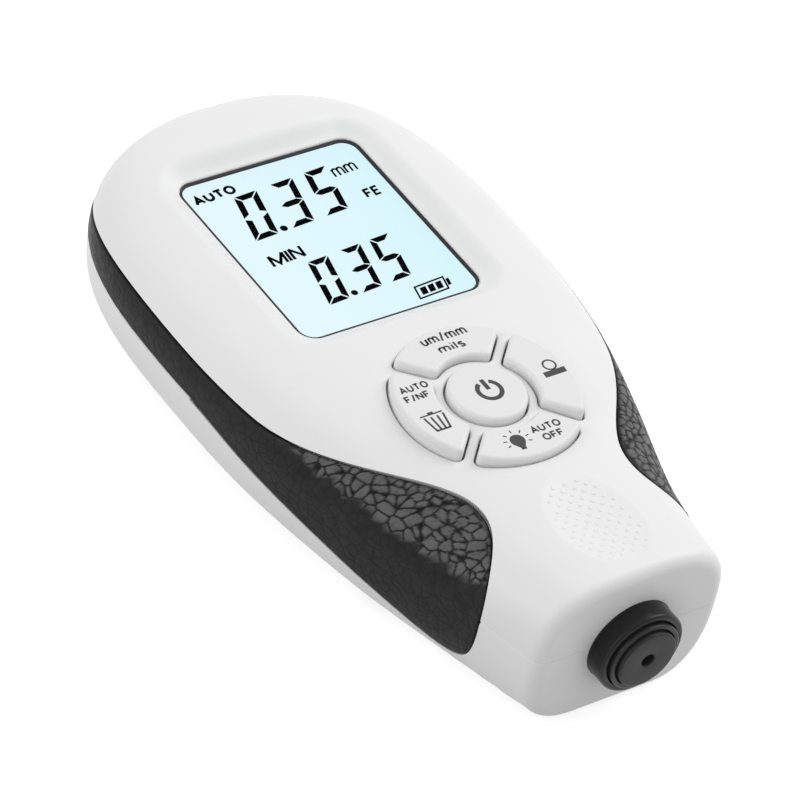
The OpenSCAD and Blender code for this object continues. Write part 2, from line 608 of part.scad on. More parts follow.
module probe_barrel() {
    color("#3c3c3f") turned() difference() {
        union() {
            band(0, barrel_r - 0.3, face_y - barrel_l, flange_y);
            band(0, barrel_r, face_y - barrel_l + 0.3, flange_y);
            translate([barrel_r - 0.3, face_y - barrel_l + 0.3]) circle(0.3);
            band(0, neck_r - 0.3, flange_y, flange_end);
            band(0, 4.5, flange_y, flange_end + 2.3);
        }
        band(-1, tip_hole_r, face_y - 9, flange_end);
        band(-1, coil_r + seat_gap, face_y - barrel_l + 1.8, flange_end + 9);
    }
}
module probe_core() {
    color("silver") turned() band(0, core_r, face_y - barrel_l + 1.8, flange_end + 1.8);
}
module probe_coil() {
    color("#b5652a") turned() band(core_r + seat_gap, coil_r, face_y - barrel_l + 1.8, flange_end + 0.4);
}
module probe_spring() {
    color("silver") translate([0, 0, probe_z])
        coil_wire(flange_end + spring_wire, guide_end - 1.5 - spring_wire, spring_r, spring_r,
            spring_wire, spring_turns, 18, 6);
}
module cell(side) {
    translate([side * cell_pitch / 2, cell_y + (side > 0 ? 0 : cell_l), cell_z])
        rotate([side > 0 ? -90 : 90, 0, 0]) {
            cylinder(r = cell_r, h = cell_l - 1);
            cylinder(r = 1.9, h = cell_l);
        }
}
module battery_1() { color("#3a6ea5") cell(-1); }
module battery_2() { color("#3a6ea5") cell(1); }
module contact_springs() {
    color("silver") {
        translate([cell_pitch / 2, 0, cell_z])
            coil_wire(box_front + 0.75, cell_y - 0.35, 3.6, 2.2, 0.35, 3, 14, 6);
        translate([cell_pitch / 2, box_front + 0.2, cell_z]) cube([8, 0.4, 8], center = true);
        translate([-cell_pitch / 2, (box_front + cell_y) / 2, cell_z])
            cube([8, cell_y - box_front, 3], center = true);
    }
}
module contact_plates() {
    color("silver") difference() {
        box(-cell_pitch / 2 - 4, cell_pitch / 2 + 4, cell_y + cell_l, box_rear, cell_z - 4, cell_z + 4);
        box(-1.5, 1.5, cell_y, box_rear + 1, cell_z - 5, cell_z + 1);
    }
}
module case_screws() {
    color("silver") for (k = [0 : 3]) screw(case_at[k], screw_r, head_r, seat_z, 2, case_top[k] - 1.4);
}
module screw_plugs() {
    r = head_r + 0.4 - plug_gap;
    color("#343436") for (p = case_at) translate([p[0], p[1], 0])
        rotate_extrude() polygon([[0, 0], [r - 0.3, 0], [r, 0.3], [r, plug_l], [0, plug_l]]);
}
module board_screws() {
    color("silver") for (p = board_at) screw(p, pin_r, 1.8, board_z - board_t, 1.1, board_z + 4.3);
}

top_cover();
bottom_cover();
left_grip();
right_grip();
battery_door();
window_gasket();
lcd_window();
lcd_panel();
backlight_panel();
zebra_connector();
main_board();
key_sheet();
power_button();
calibrate_button();
unit_button();
mode_button();
light_button();
probe_collar();
probe_sleeve();
probe_guide();
probe_barrel();
probe_core();
probe_coil();
probe_spring();
battery_1();
battery_2();
contact_springs();
contact_plates();
case_screws();
board_screws();
screw_plugs();
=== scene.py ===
"""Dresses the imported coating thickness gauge: moulded covers, grips, lit display, keys and probe."""

import math

import bmesh
import bpy
import numpy as np
from bpy.props import FloatProperty, FloatVectorProperty, IntProperty, PointerProperty
from mathutils import Matrix, Vector
from mathutils.geometry import delaunay_2d_cdt


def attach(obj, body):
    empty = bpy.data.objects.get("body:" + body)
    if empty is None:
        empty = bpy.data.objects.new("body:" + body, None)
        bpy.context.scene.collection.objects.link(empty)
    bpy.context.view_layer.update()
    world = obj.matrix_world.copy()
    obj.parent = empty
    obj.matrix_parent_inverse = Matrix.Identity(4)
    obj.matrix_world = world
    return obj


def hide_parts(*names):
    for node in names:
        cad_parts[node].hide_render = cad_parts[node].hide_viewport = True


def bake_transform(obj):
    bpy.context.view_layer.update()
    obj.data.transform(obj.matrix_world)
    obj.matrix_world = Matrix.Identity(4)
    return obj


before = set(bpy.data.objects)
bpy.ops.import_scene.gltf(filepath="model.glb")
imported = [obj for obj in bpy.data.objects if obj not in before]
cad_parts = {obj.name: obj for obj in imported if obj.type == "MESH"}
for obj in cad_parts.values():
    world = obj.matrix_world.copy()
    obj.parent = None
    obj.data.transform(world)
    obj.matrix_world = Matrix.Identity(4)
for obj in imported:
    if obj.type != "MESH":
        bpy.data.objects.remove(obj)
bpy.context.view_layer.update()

bl_info = {
    "name": "Coating thickness gauge",
    "version": (1, 0, 0),
    "blender": (4, 5, 0),
    "location": "3D View > Sidebar > Gauge",
    "description": "Builds the look of a hand-held coating thickness gauge around its CAD frame",
    "category": "Object",
}

MM = 0.001

# Housing, in millimetres; a few edges are drawn nearer to the photo than in the part's source
REAR, FACE, WIDE = 60.6, -55.8, 19.0
SPLIT, EDGE, FLAT = 14.0, 1.9, 0.42
HALF = ((FACE, 16.3), (-40, 20.2), (-20, 26.4), (0, 31.3), (WIDE, 32.7))
TOP = ((FACE, 26.4), (-30, 25.6), (WIDE, 25.6))
POWER_UP = ((FACE, 3), (-36, 2.2), (-10, 3), (WIDE, 3.1))
POWER_LOW = ((FACE, 2.5), (-35, 3.8), (0, 2.8), (WIDE, 2.5))
REAR_POWER, END_RISE, END_UP, END_LOW = 2.8, 6.5, 16, 15
DIMPLE_Y, DIMPLE_BALL, DIMPLE_DEEP, DIMPLE_REACH, DIMPLE_SOFT = -41.6, 45, 0.95, 20, 0.02
GRIP_FRONT, GRIP_REAR, GRIP_LOW_END = -44.9, 56.0, 11.5
GRIP_ROUND, GRIP_TAIL, GRIP_MIN = 14, 31, 0.32
GRIP_DEPTH, GRIP_PROUD, GRIP_GAP, GRIP_GLUE, GRIP_ROLL = 1.1, 0.15, 0.12, 0.16, 0.4
BAND_UP, BAND_SWELL, BAND_RUN, FRONT_UP, TAIL_POWER = 5.6, 4.3, 32, 2.6, 2.2
BAND_LOW, LOW_TURN, LOW_SOFT, FRONT_LOW, LOW_FADE = 0.112, 8, 5, 3.2, 1.5
LCD_Y, WINDOW_W, WINDOW_L, WINDOW_R = 26, 31.6, 36.6, 2.4
GASKET_W, LENS_GAP, LENS_Z, GLASS_Z, LIGHT_Z = 0.45, 0.1, 22.5, 21.3, 19.3
LENS_RIM, POCKET_R, BEZEL_FOOT = 2.2, 0.9, 0.62
KEY_Y, KEY_TOP, POWER_R, ARC_IN, ARC_OUT, KEY_RIB = -15.4, 26.75, 6.05, 7.9, 14.4, 2
KEY_GAP, KEY_CORNER, DECK_Z, FLANGE_Z, STEM_Z, STEM_R, KEY_MID = 0.3, 0.9, 22.4, 21.4, 19.4, 2, 11
PROBE_Z, COLLAR_R, COLLAR_FRONT, SLEEVE_FRONT, BARREL_FRONT = 13, 7.15, -59.2, -59.9, -60.6
NECK_R, NECK_END, SLEEVE_R, BARREL_R, FLANGE_Y, FLANGE_END = 6.6, -51.5, 5.9, 4.92, -50.3, -48.8
TIP_HOLE_R, COIL_BORE, STUB_R, STUB_L, TIP_T = 1.1, 3.69, 4.5, 2.3, 1.8
SPRING_R, SPRING_WIRE, SPRING_END, SPRING_TURNS, SPRING_GAP = 5.3, 0.35, -37.5, 6, 0.02
DOOR_Y, DOOR_W, DOOR_L, DOOR_T, DOOR_GAP = 18.45, 23.6, 50, 1.2, 0.3
BOX_HALF, BOX_FRONT, BOX_REAR, BOX_TOP = 11, -6.4, 43.3, 12.6
CASE_AT = ((22.5, 28), (-22.5, 28), (18.5, -24), (-18.5, -24))
SEAT_Z, BORE_R, SHANK_R, PLUG_R, PLUG_TOP = 7, 2.9, 1.5, 2.84, 4.4

# How finely the covers are divided, in millimetres, rows and degrees
PATCH_FRONT, PATCH_REAR = FACE + EDGE, 50.0
SEAM = ((0, 0.16), (0.1, 0.04), (0.26, 0))
BAND_ROWS, CAP_ROWS, END_INSET, RIM_TURNS = 8, 16, 0.15, (0, 28, 56, 90)


def unit(v):
    return np.clip(v, 0.0, 1.0)


def smooth(v):
    v = unit(v)
    return v * v * (3 - 2 * v)


def curve(stations, y):
    """Smooth curve through stations (y, value), level at the last one."""
    ys, vs = np.array(stations, float).T
    slopes = np.zeros_like(vs)
    slopes[0] = (vs[1] - vs[0]) / (ys[1] - ys[0])
    slopes[1:-1] = (vs[2:] - vs[:-2]) / (ys[2:] - ys[:-2])
    y = np.clip(y, ys[0], ys[-1])
    i = np.clip(np.searchsorted(ys, y, side="right") - 1, 0, len(ys) - 2)
    h = ys[i + 1] - ys[i]
    t = (y - ys[i]) / h
    return ((2 * t**3 - 3 * t**2 + 1) * vs[i] + (t**3 - 2 * t**2 + t) * h * slopes[i]
            + (3 * t**2 - 2 * t**3) * vs[i + 1] + (t**3 - t**2) * h * slopes[i + 1])


def lip(y):
    q = unit((FACE + EDGE - y) / EDGE)
    return EDGE * (1 - np.sqrt(1 - q * q))


def half_width(y):
    s = unit((y - WIDE) / (REAR - WIDE))
    rear = HALF[-1][1] * (1 - s**REAR_POWER) ** (1 / REAR_POWER)
    return np.where(y > WIDE, rear, curve(HALF, y) - lip(y))


def tail(y, h, r):
    q = unit((y - REAR + r) / r)
    return END_RISE + (h - END_RISE) * np.sqrt(1 - q * q)


def section(y, up):
    """Half-width, flat half-width, height from the joint and squareness of a cover at y."""
    a = half_width(y)
    if up:
        return a, 0 * a, tail(y, curve(TOP, y) - SPLIT, END_UP) - lip(y), curve(POWER_UP, y)
    return a, FLAT * a, tail(y, SPLIT, END_LOW) - lip(y), curve(POWER_LOW, y)


def on_section(y, t, up, inset=0.0):
    """x and height from the joint at angle t of the section, moved inwards."""
    a, f, h, n = section(y, up)
    c, s = np.cos(t) ** (2 / n), np.sin(t) ** (2 / n)
    gx, gz = c ** (n - 1) / (a - f), s ** (n - 1) / h
    k = inset / np.hypot(gx, gz)
    return f + (a - f) * c - k * gx, h * s - k * gz


def angle_at(y, height, up):
    _, _, h, n = section(y, up)
    return np.arcsin(unit(height / h) ** (n / 2))


def skin(x, y, up):
    """Height from the joint of a cover's outside over the point x, y."""
    a, f, h, n = section(y, up)
    return h * (1 - unit((np.abs(x) - f) / (a - f)) ** n) ** (1 / n)


def level(height, up):
    return SPLIT + height if up else SPLIT - height


def scoop(r2):
    """z of the finger dimple's ball at a squared distance from its middle."""
    ball = curve(TOP, np.array(DIMPLE_Y)) + DIMPLE_BALL - DIMPLE_DEEP
    return ball - np.sqrt(DIMPLE_BALL**2 - r2)


def top_level(x, y):
    """z of the upper cover's outside, with the finger dimple."""
    z = level(skin(x, y, True), True)
    low = scoop(np.minimum(x * x + (y - DIMPLE_Y) ** 2, DIMPLE_REACH**2))
    return -DIMPLE_SOFT * np.logaddexp(-z / DIMPLE_SOFT, -low / DIMPLE_SOFT)


def front_end(y, p):
    return (1 - unit((GRIP_FRONT + GRIP_ROUND - y) / GRIP_ROUND) ** p) ** (1 / p)


def rear_end(y):
    return (1 - unit((y - GRIP_REAR + GRIP_TAIL) / GRIP_TAIL) ** TAIL_POWER) ** (1 / TAIL_POWER)


def grip_band(y, up):
    """Height of a grip above or below the joint."""
    if up:
        band = (BAND_UP + BAND_SWELL * smooth(-y / BAND_RUN)) * front_end(y, FRONT_UP) * rear_end(y)
    else:
        ahead = LOW_TURN - y
        band = BAND_LOW * (ahead + np.hypot(ahead, LOW_SOFT)) * front_end(y, FRONT_LOW)
    return np.maximum(GRIP_MIN, band)


def recess(y, up):
    end = GRIP_REAR if up else GRIP_LOW_END
    return np.where((y > GRIP_FRONT - 1e-6) & (y < end + 1e-6), GRIP_DEPTH, 0.0)


class Shape:
    """Points in millimetres and faces of a piece that is being made."""

    def __init__(self):
        self.points, self.faces = [], []

    def add(self, points):
        first = len(self.points)
        self.points.extend(tuple(float(c) for c in p) for p in points)
        return list(range(first, len(self.points)))

    def face(self, corners, flip=False):
        self.faces.append(tuple(corners[::-1]) if flip else tuple(corners))

    def strip(self, a, b, closed=True, flip=False):
        for k in range(len(a) if closed else len(a) - 1):
            m = (k + 1) % len(a)
            self.face((a[k], a[m], b[m], b[k]), flip)

    def stack(self, loops, flip=False):
        """Walls through loops of equal length; upwards they face out, downwards in."""
        rows = [self.add(loop) for loop in loops]
        for a, b in zip(rows, rows[1:]):
            self.strip(a, b, True, flip)
        return rows

    def row(self, x, y, z):
        """Adds points by their coordinates; one number stands for a whole row."""
        return self.add(np.column_stack(np.broadcast_arrays(x, y, z)))

    def solid(self, loops):
        """Closed piece through loops, from the lowest to the highest."""
        rows = self.stack(loops)
        self.face(rows[0], True)
        self.face(rows[-1])

    def prism(self, outline, z0, z1):
        """Closed plate over an outline that runs anticlockwise."""
        self.solid([lift(outline, z0), lift(outline, z1)])

    def ring(self, outer, inner, z0, z1):
        """Closed plate between two outlines of equal length."""
        rows = self.stack([lift(outer, z0), lift(outer, z1), lift(inner, z1), lift(inner, z0)])
        self.strip(rows[3], rows[0])


def lift(outline, z):
    """Outline at height z; z is one number or one for each point."""
    outline = np.asarray(outline, float)
    return np.column_stack([outline, np.broadcast_to(z, len(outline))])


def weld(mesh, outward):
    """Joins points that coincide and, for a closed shape, turns every face outwards."""
    work = bmesh.new()
    work.from_mesh(mesh)
    bmesh.ops.remove_doubles(work, verts=work.verts, dist=2e-6)
    bmesh.ops.dissolve_degenerate(work, edges=work.edges, dist=1e-6)
    if outward:
        bmesh.ops.recalc_face_normals(work, faces=work.faces)
    work.to_mesh(mesh)
    work.free()


def link(name, data):
    """New object in the scene."""
    made = bpy.data.objects.new(name, data)
    bpy.context.scene.collection.objects.link(made)
    return made


def build(name, shape, finish, body, nodes=(), sharp=35, outward=False, marks=None):
    """Makes the object of a shape, rides it on its body and hides the CAD nodes that it stands for.

    A body given as more than one name leaves the piece unattached, where it stands.
    """
    if not shape.faces:
        raise RuntimeError(f"{name} has no faces")
    mesh = bpy.data.meshes.new(name)
    mesh.from_pydata([tuple(c * MM for c in p) for p in shape.points], [], shape.faces)
    for mark, values in (marks or {}).items():
        mesh.attributes.new(mark, "FLOAT", "POINT").data.foreach_set("value", values.astype(np.float32))
    weld(mesh, outward)
    mesh.shade_smooth()
    mesh.set_sharp_from_angle(angle=math.radians(sharp))
    mesh.materials.append(finish)
    piece = link(name, mesh)
    if isinstance(body, str):
        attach(piece, body)
    else:
        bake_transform(piece)
    if nodes:
        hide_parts(*nodes)


def dress(node, finish):
    """Gives a CAD node, which keeps its shape, a finish."""
    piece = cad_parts.get(node)
    if piece is None:
        raise RuntimeError(f"the frame has no node {node}")
    piece.data.materials.clear()
    piece.data.materials.append(finish)


def round_rect(w, l, r, cy, corner=10, side=24):
    """Points and outward normals of a rounded rectangle, anticlockwise."""
    points, normals = [], []
    for k, (sx, sy) in enumerate(((1, -1), (1, 1), (-1, 1), (-1, -1))):
        for t in np.radians(np.linspace(-90, 0, corner + 1) + 90 * k):
            n = np.array([math.cos(t), math.sin(t)])
            points.append(np.array([sx * (w / 2 - r), cy + sy * (l / 2 - r)]) + r * n)
            normals.append(n)
        run = (l if k % 2 == 0 else w) - 2 * r
        step = np.array([-n[1], n[0]])
        for s in range(1, side):
            points.append(points[-s] + step * run * s / side)
            normals.append(n)
    return np.array(points), np.array(normals)


def full_turn(count):
    return np.linspace(0, 2 * math.pi, count, endpoint=False)


def circle(r, cx, cy, count=72):
    """Points and outward normals of a circle, anticlockwise."""
    t = full_turn(count)
    n = np.column_stack([np.cos(t), np.sin(t)])
    return np.array([cx, cy]) + r * n, n


def key_sector(gap, corner, turn):
    """Outline and normals of an arc key between parallel ribs, widened by gap."""
    r0, r1, rib = ARC_IN - gap + corner, ARC_OUT + gap - corner, KEY_RIB / 2 - gap + corner
    outer, inner = (math.pi / 4 - math.asin(rib / r) for r in (r1, r0))
    angles, centres = [], []

    def at(r, t):
        return np.array([r * math.cos(t), r * math.sin(t)])

    def run(start, end, count, centre_of):
        for t in np.linspace(start, end, count):
            angles.append(t)
            centres.append(centre_of(t))

    def straight(facing, first, last):
        for s in np.linspace(0, 1, 8)[1:-1]:
            angles.append(facing)
            centres.append(first * (1 - s) + last * s)

    left, right = math.radians(135), math.radians(225)
    corners = at(r1, outer), at(r0, inner), at(r0, -inner), at(r1, -outer)
    run(-outer, outer, 40, lambda t: at(r1, t))
    run(outer + 0.2, left, 7, lambda t: corners[0])
    straight(left, corners[0], corners[1])
    run(left, math.pi + inner - 0.15, 5, lambda t: corners[1])
    run(math.pi + inner, math.pi - inner, 26, lambda t: at(r0, t - math.pi))
    run(math.pi - inner + 0.15, right, 5, lambda t: corners[2])
    straight(right, corners[2], corners[3])
    run(right, 2 * math.pi - outer - 0.2, 7, lambda t: corners[3])
    normals = np.array([at(1, t + turn) for t in angles])
    spin = np.array([[math.cos(turn), math.sin(turn)], [-math.sin(turn), math.cos(turn)]])
    return np.array(centres) @ spin + corner * normals + np.array([0, KEY_Y]), normals


def inside(outline, points):
    """Which points lie inside an outline."""
    x, y = points[:, 0], points[:, 1]
    found = np.zeros(len(points), bool)
    for (x0, y0), (x1, y1) in zip(outline, np.roll(outline, -1, axis=0)):
        if y0 != y1:
            found ^= ((y0 > y) != (y1 > y)) & (x < (x1 - x0) * (y - y0) / (y1 - y0) + x0)
    return found


def near(points, loop, distance):
    close = np.zeros(len(points), bool)
    for p in loop:
        close |= ((points - p) ** 2).sum(axis=1) < distance**2
    return close


def skin_patch(shape, outline, holes, height, pitch, up, creases=()):
    """Triangles over an outline with holes; holes are lists of (loop, z), the rim first."""
    loops = [(o, height(o[:, 0], o[:, 1])) for o in (outline, *creases)] + [r for h in holes for r in h]
    low, high = outline.min(axis=0), outline.max(axis=0)
    xs, ys = (np.arange(low[k] + pitch / 3, high[k], pitch * (1, 0.866)[k]) for k in (0, 1))
    grid = np.array([(x + pitch / 2 * (j % 2), y) for j, y in enumerate(ys) for x in xs])
    keep = inside(outline, grid)
    for hole in holes:
        keep &= ~inside(hole[-1][0], grid)
    for loop, _ in loops:
        keep[keep] = ~near(grid[keep], loop, 0.55 * pitch)
    grid = grid[keep]
    flat, z, edges = [], [], []
    for loop, loop_z in loops:
        first = len(flat)
        flat.extend(loop)
        z.extend(loop_z)
        edges.extend((first + k, first + (k + 1) % len(loop)) for k in range(len(loop)))
    flat.extend(grid)
    z.extend(height(grid[:, 0], grid[:, 1]))
    points, _, faces, origin, _, _ = delaunay_2d_cdt([tuple(p) for p in flat], edges, [], 0, 1e-6)
    points = np.array(points)
    ids = shape.add([(p[0], p[1], z[o[0]]) for p, o in zip(points, origin)])
    middles = np.array([points[list(f)].mean(axis=0) for f in faces])
    keep = inside(outline, middles)
    for hole in holes:
        keep &= ~inside(hole[0][0], middles)
    for f in np.flatnonzero(keep):
        shape.face([ids[k] for k in faces[f]], not up)


def dimple_edge(grow, count=90):
    """Loop round the finger dimple, where its ball meets the cover."""
    loop = []
    for t in full_turn(count):
        r = np.linspace(3, 12, 400)
        x, y = r * math.cos(t), DIMPLE_Y + r * math.sin(t)
        out = np.argmax(scoop(r * r) > level(skin(x, y, True), True))
        q = r[out] + grow
        loop.append((q * math.cos(t), DIMPLE_Y + q * math.sin(t)))
    return np.array(loop)


def rim_rings(loop, normals, z_of, radius, up):
    """Rings of the small round along the rim of a hole; the rim comes first."""
    rings = []
    for t in np.radians(RIM_TURNS):
        p = loop + normals * radius * (1 - math.cos(t))
        drop = radius * (1 - math.sin(t))
        rings.append((p, z_of(p) + (-drop if up else drop)))
    return rings


def cover_columns():
    turn = np.radians(np.linspace(0, 90, 23))
    rear = np.sin(np.radians(np.linspace(0, 89.4, 44))) ** (2 / REAR_POWER)
    runs = (FACE + EDGE * (1 - np.cos(np.radians(np.linspace(0, 90, 9)))),
            np.linspace(PATCH_FRONT, GRIP_FRONT - 0.06, 9),
            GRIP_FRONT + GRIP_ROUND * (1 - np.cos(turn)),
            np.linspace(GRIP_FRONT + GRIP_ROUND, GRIP_LOW_END, 34),
            np.linspace(GRIP_LOW_END + 0.06, WIDE + 4, 16),
            WIDE + (REAR - WIDE) * rear, (GRIP_REAR, GRIP_REAR + 0.06, PATCH_REAR))
    return np.unique(np.round(np.concatenate(runs), 4))


def cover_shell(shape, up, holes, height, pitch, creases=()):
    """Outside of a cover: a grid with the grip recess and the seam, and a patch with holes."""
    ys = cover_columns()
    deep, band = recess(ys, up), grip_band(ys, up)
    low = angle_at(ys, band, up)
    edge = np.maximum(math.radians(46 if up else 42), low + math.radians(5))
    rows = [on_section(ys, angle_at(ys, h, up), up, deep + d) for h, d in SEAM]
    for k in range(1, BAND_ROWS + 1):
        h = SEAM[-1][0] + (band - SEAM[-1][0]) * k / BAND_ROWS
        rows.append(on_section(ys, angle_at(ys, h, up), up, deep))
    rows += [on_section(ys, low + (edge - low) * k / CAP_ROWS, up) for k in range(CAP_ROWS + 1)]
    patch_row = len(rows) - 1
    rows += [on_section(ys, edge + (math.pi / 2 - edge) * k / CAP_ROWS, up)
             for k in range(1, CAP_ROWS + 1)]
    rows.append((0 * ys, section(ys, up)[2]))
    x = np.array([r[0] for r in rows])
    z = level(np.array([r[1] for r in rows]), up)
    in_patch = (ys >= PATCH_FRONT - 1e-6) & (ys < PATCH_REAR - 1e-6)
    for side in (1, -1):
        flip = (side < 0) == up
        ids = [shape.row(side * x[j], ys, z[j]) for j in range(len(rows))]
        for j, (a, b) in enumerate(zip(ids, ids[1:])):
            for i in range(len(ys) - 1):
                if j < patch_row or not in_patch[i]:
                    shape.face((a[i], a[i + 1], b[i + 1], b[i]), flip)
    for i, back in ((0, False), (len(ys) - 1, True)):
        shrink = np.maximum(x[:, i] - END_INSET, 0)
        push = np.where(np.arange(len(rows)) == 0, SEAM[0][1], 0) * (-1 if back else 1)
        right, left = (shape.row(side * x[:, i], ys[i], z[:, i]) for side in (1, -1))
        r_in, l_in = (shape.row(side * shrink, ys[i] + push, z[:, i]) for side in (1, -1))
        for a, b in ((r_in, right), (l_in, r_in), (left, l_in)):
            shape.strip(a, b, False, up != back)
    span = [i for i, y in enumerate(ys) if PATCH_FRONT - 1e-6 <= y <= PATCH_REAR + 1e-6]
    right = np.column_stack([x[patch_row, span], ys[span]])
    ends = []
    for i in (span[-1], span[0]):
        across = x[patch_row + 1:, i]
        across = across[across > 1e-6]
        line = np.concatenate([across, [0.0], -across[::-1]])
        line = line if i == span[-1] else -line
        ends.append(np.column_stack([line, np.full(len(line), ys[i])]))
    left = right[::-1] * np.array([-1, 1])
    outline = np.concatenate([right, ends[0], left, ends[1]])
    skin_patch(shape, outline, holes, height, pitch, up, creases)


def turned(shape, profile, count=128):
    """Closed turned piece on the probe axis from a closed profile of (radius, y)."""
    t = full_turn(count)
    rows = [shape.row(r * np.cos(t), y, PROBE_Z + r * np.sin(t)) for r, y in profile]
    for a, b in zip(rows, rows[1:] + rows[:1]):
        shape.strip(a, b)


def coil(shape, first, last, radius, wire, turns, closed=0.9, step=48, sides=12):
    """Wire on the probe axis wound from y first to y last, with a closed turn at each end."""
    turn = np.linspace(0, turns, turns * step + 1)
    rise = (first, first + 2 * wire, last - 2 * wire, last)
    ys = np.interp(turn, (0, closed, turns - closed, turns), rise)
    round_wire = full_turn(sides)
    r, along = radius + wire * np.cos(round_wire), wire * np.sin(round_wire)
    shape.solid([np.column_stack([r * math.cos(a), y + along, PROBE_Z + r * math.sin(a)])
                 for y, a in zip(ys, 2 * math.pi * turn)])


def bow(cx, cy, rx, ry, start, end, count=13):
    """Points along a part of an oval, from start to end in degrees."""
    t = np.radians(np.linspace(start, end, count))
    return [(cx + rx * math.cos(a), cy + ry * math.sin(a)) for a in t]


def corner_arc(r, y, radius, start, end, count=7):
    return bow(r, y, radius, radius, start, end, count)


# Strokes of generic letters in a cell one unit high, after the width of the cell
LETTERS = {
    "A": (0.95, [[(0, 0), (0.475, 1), (0.95, 0)], [(0.17, 0.33), (0.78, 0.33)]]),
    "U": (0.84, [[(0, 1)] + bow(0.42, 0.4, 0.42, 0.4, 180, 360) + [(0.84, 1)]]),
    "T": (0.84, [[(0, 1), (0.84, 1)], [(0.42, 1), (0.42, 0)]]),
    "O": (1.0, [bow(0.5, 0.5, 0.5, 0.5, 90, 450, 41)]),
    "F": (0.66, [[(0, 0), (0, 1), (0.66, 1)], [(0, 0.52), (0.58, 0.52)]]),
    "E": (0.68, [[(0.68, 0), (0, 0), (0, 1), (0.68, 1)], [(0, 0.52), (0.6, 0.52)]]),
    "N": (0.84, [[(0, 0), (0, 1)], [(0, 1), (0.84, 0)], [(0.84, 0), (0.84, 1)]]),
    "M": (1.1, [[(0, 0), (0, 1)], [(0, 1), (0.55, 0.1), (1.1, 1)], [(1.1, 1), (1.1, 0)]]),
    "I": (0.0, [[(0, 0), (0, 1)]]),
    "/": (0.4, [[(0, -0.05), (0.4, 1.05)]]),
    "u": (0.52, [[(0, 0.72)] + bow(0.26, 0.26, 0.26, 0.26, 180, 360) + [(0.52, 0.72)],
                 [(0.52, 0.72), (0.52, 0)]]),
    "m": (0.92, [[(0, 0), (0, 0.72)],
                 [(0, 0.46)] + bow(0.23, 0.49, 0.23, 0.23, 180, 0) + [(0.46, 0)],
                 [(0.46, 0.46)] + bow(0.69, 0.49, 0.23, 0.23, 180, 0) + [(0.92, 0)]]),
    "i": (0.0, [[(0, 0), (0, 0.72)], [(0, 0.92), (0, 1.02)]]),
    "l": (0.0, [[(0, 0), (0, 1.02)]]),
    "s": (0.44, [bow(0.22, 0.55, 0.21, 0.17, 40, 270, 11)
                 + bow(0.22, 0.19, 0.22, 0.19, 90, -140, 11)[1:]]),
}


def path_outline(path, width):
    """Outline of a stroke along a path, with mitred bends and flat ends."""
    path = np.array(path, float)
    run = np.diff(path, axis=0)
    side = np.column_stack([-run[:, 1], run[:, 0]]) / np.linalg.norm(run, axis=1)[:, None]
    shut = np.allclose(path[0], path[-1])
    before = np.vstack([side[-1:] if shut else side[:1], side])
    after = np.vstack([side, side[:1] if shut else side[-1:]])
    bend = before + after
    bend /= np.maximum((bend * before).sum(axis=1), 0.35)[:, None]
    return path + bend * width / 2, path - bend * width / 2, shut


def stroke(points, width):
    """Outline of a straight stroke between two points."""
    a, b = (np.array(p, float) for p in points)
    side = np.array([a[1] - b[1], b[0] - a[0]]) / np.linalg.norm(b - a) * width / 2
    return np.array([a - side, b - side, b + side, a + side])


def oblong(x0, x1, y0, y1):
    return np.array(((x0, y0), (x1, y0), (x1, y1), (x0, y1)))


class Print(Shape):
    """Thin marks between two heights; a turn or a slant is left to the placing function."""

    def __init__(self, z0, z1, place=np.asarray):
        super().__init__()
        self.z, self.place = (z0, z1), place

    def fill(self, outline):
        self.prism(self.place(outline), *self.z)

    def frame(self, outer, inner):
        self.ring(self.place(outer), self.place(inner), *self.z)

    def line(self, weight, *ends):
        """Straight strokes, each between two points."""
        for pair in ends:
            self.fill(stroke(pair, weight))

    def word(self, text, x0, x1, y0, y1, weight, space, lean=0.0):
        """A generic word or unit, y0 to y1 high for a letter one unit high."""
        cells = [LETTERS[c] for c in text]
        length = sum(c[0] for c in cells) + space * (len(cells) - 1)
        wide = (x1 - x0 - weight * len(cells)) / length
        x = x0 + weight / 2
        for width, paths in cells:
            for path in paths:
                p = np.array(path) * np.array([wide, y1 - y0 - weight]) + np.array([x, y0 + weight / 2])
                p[:, 0] += lean * (p[:, 1] - y0)
                left, right, shut = path_outline(p, weight)
                if shut:
                    self.frame(right[:-1], left[:-1])
                else:
                    self.fill(np.concatenate([right, left[::-1]]))
            x += (width + space) * wide + weight


class Field:
    """A socket of a finish, with arithmetic that adds Math nodes."""

    def __init__(self, finish, socket):
        self.finish, self.socket = finish, socket

    def _math(self, operation, first, second):
        return self.finish.node("ShaderNodeMath", {"operation": operation}, {0: first, 1: second})

    def __add__(self, other):
        return self._math("ADD", self, other)

    def __sub__(self, other):
        return self._math("SUBTRACT", self, other)

    def __rsub__(self, other):
        return self._math("SUBTRACT", other, self)

    def __mul__(self, other):
        return self._math("MULTIPLY", self, other)

    def __pow__(self, other):
        return self._math("POWER", self, other)

    __radd__, __rmul__ = __add__, __mul__


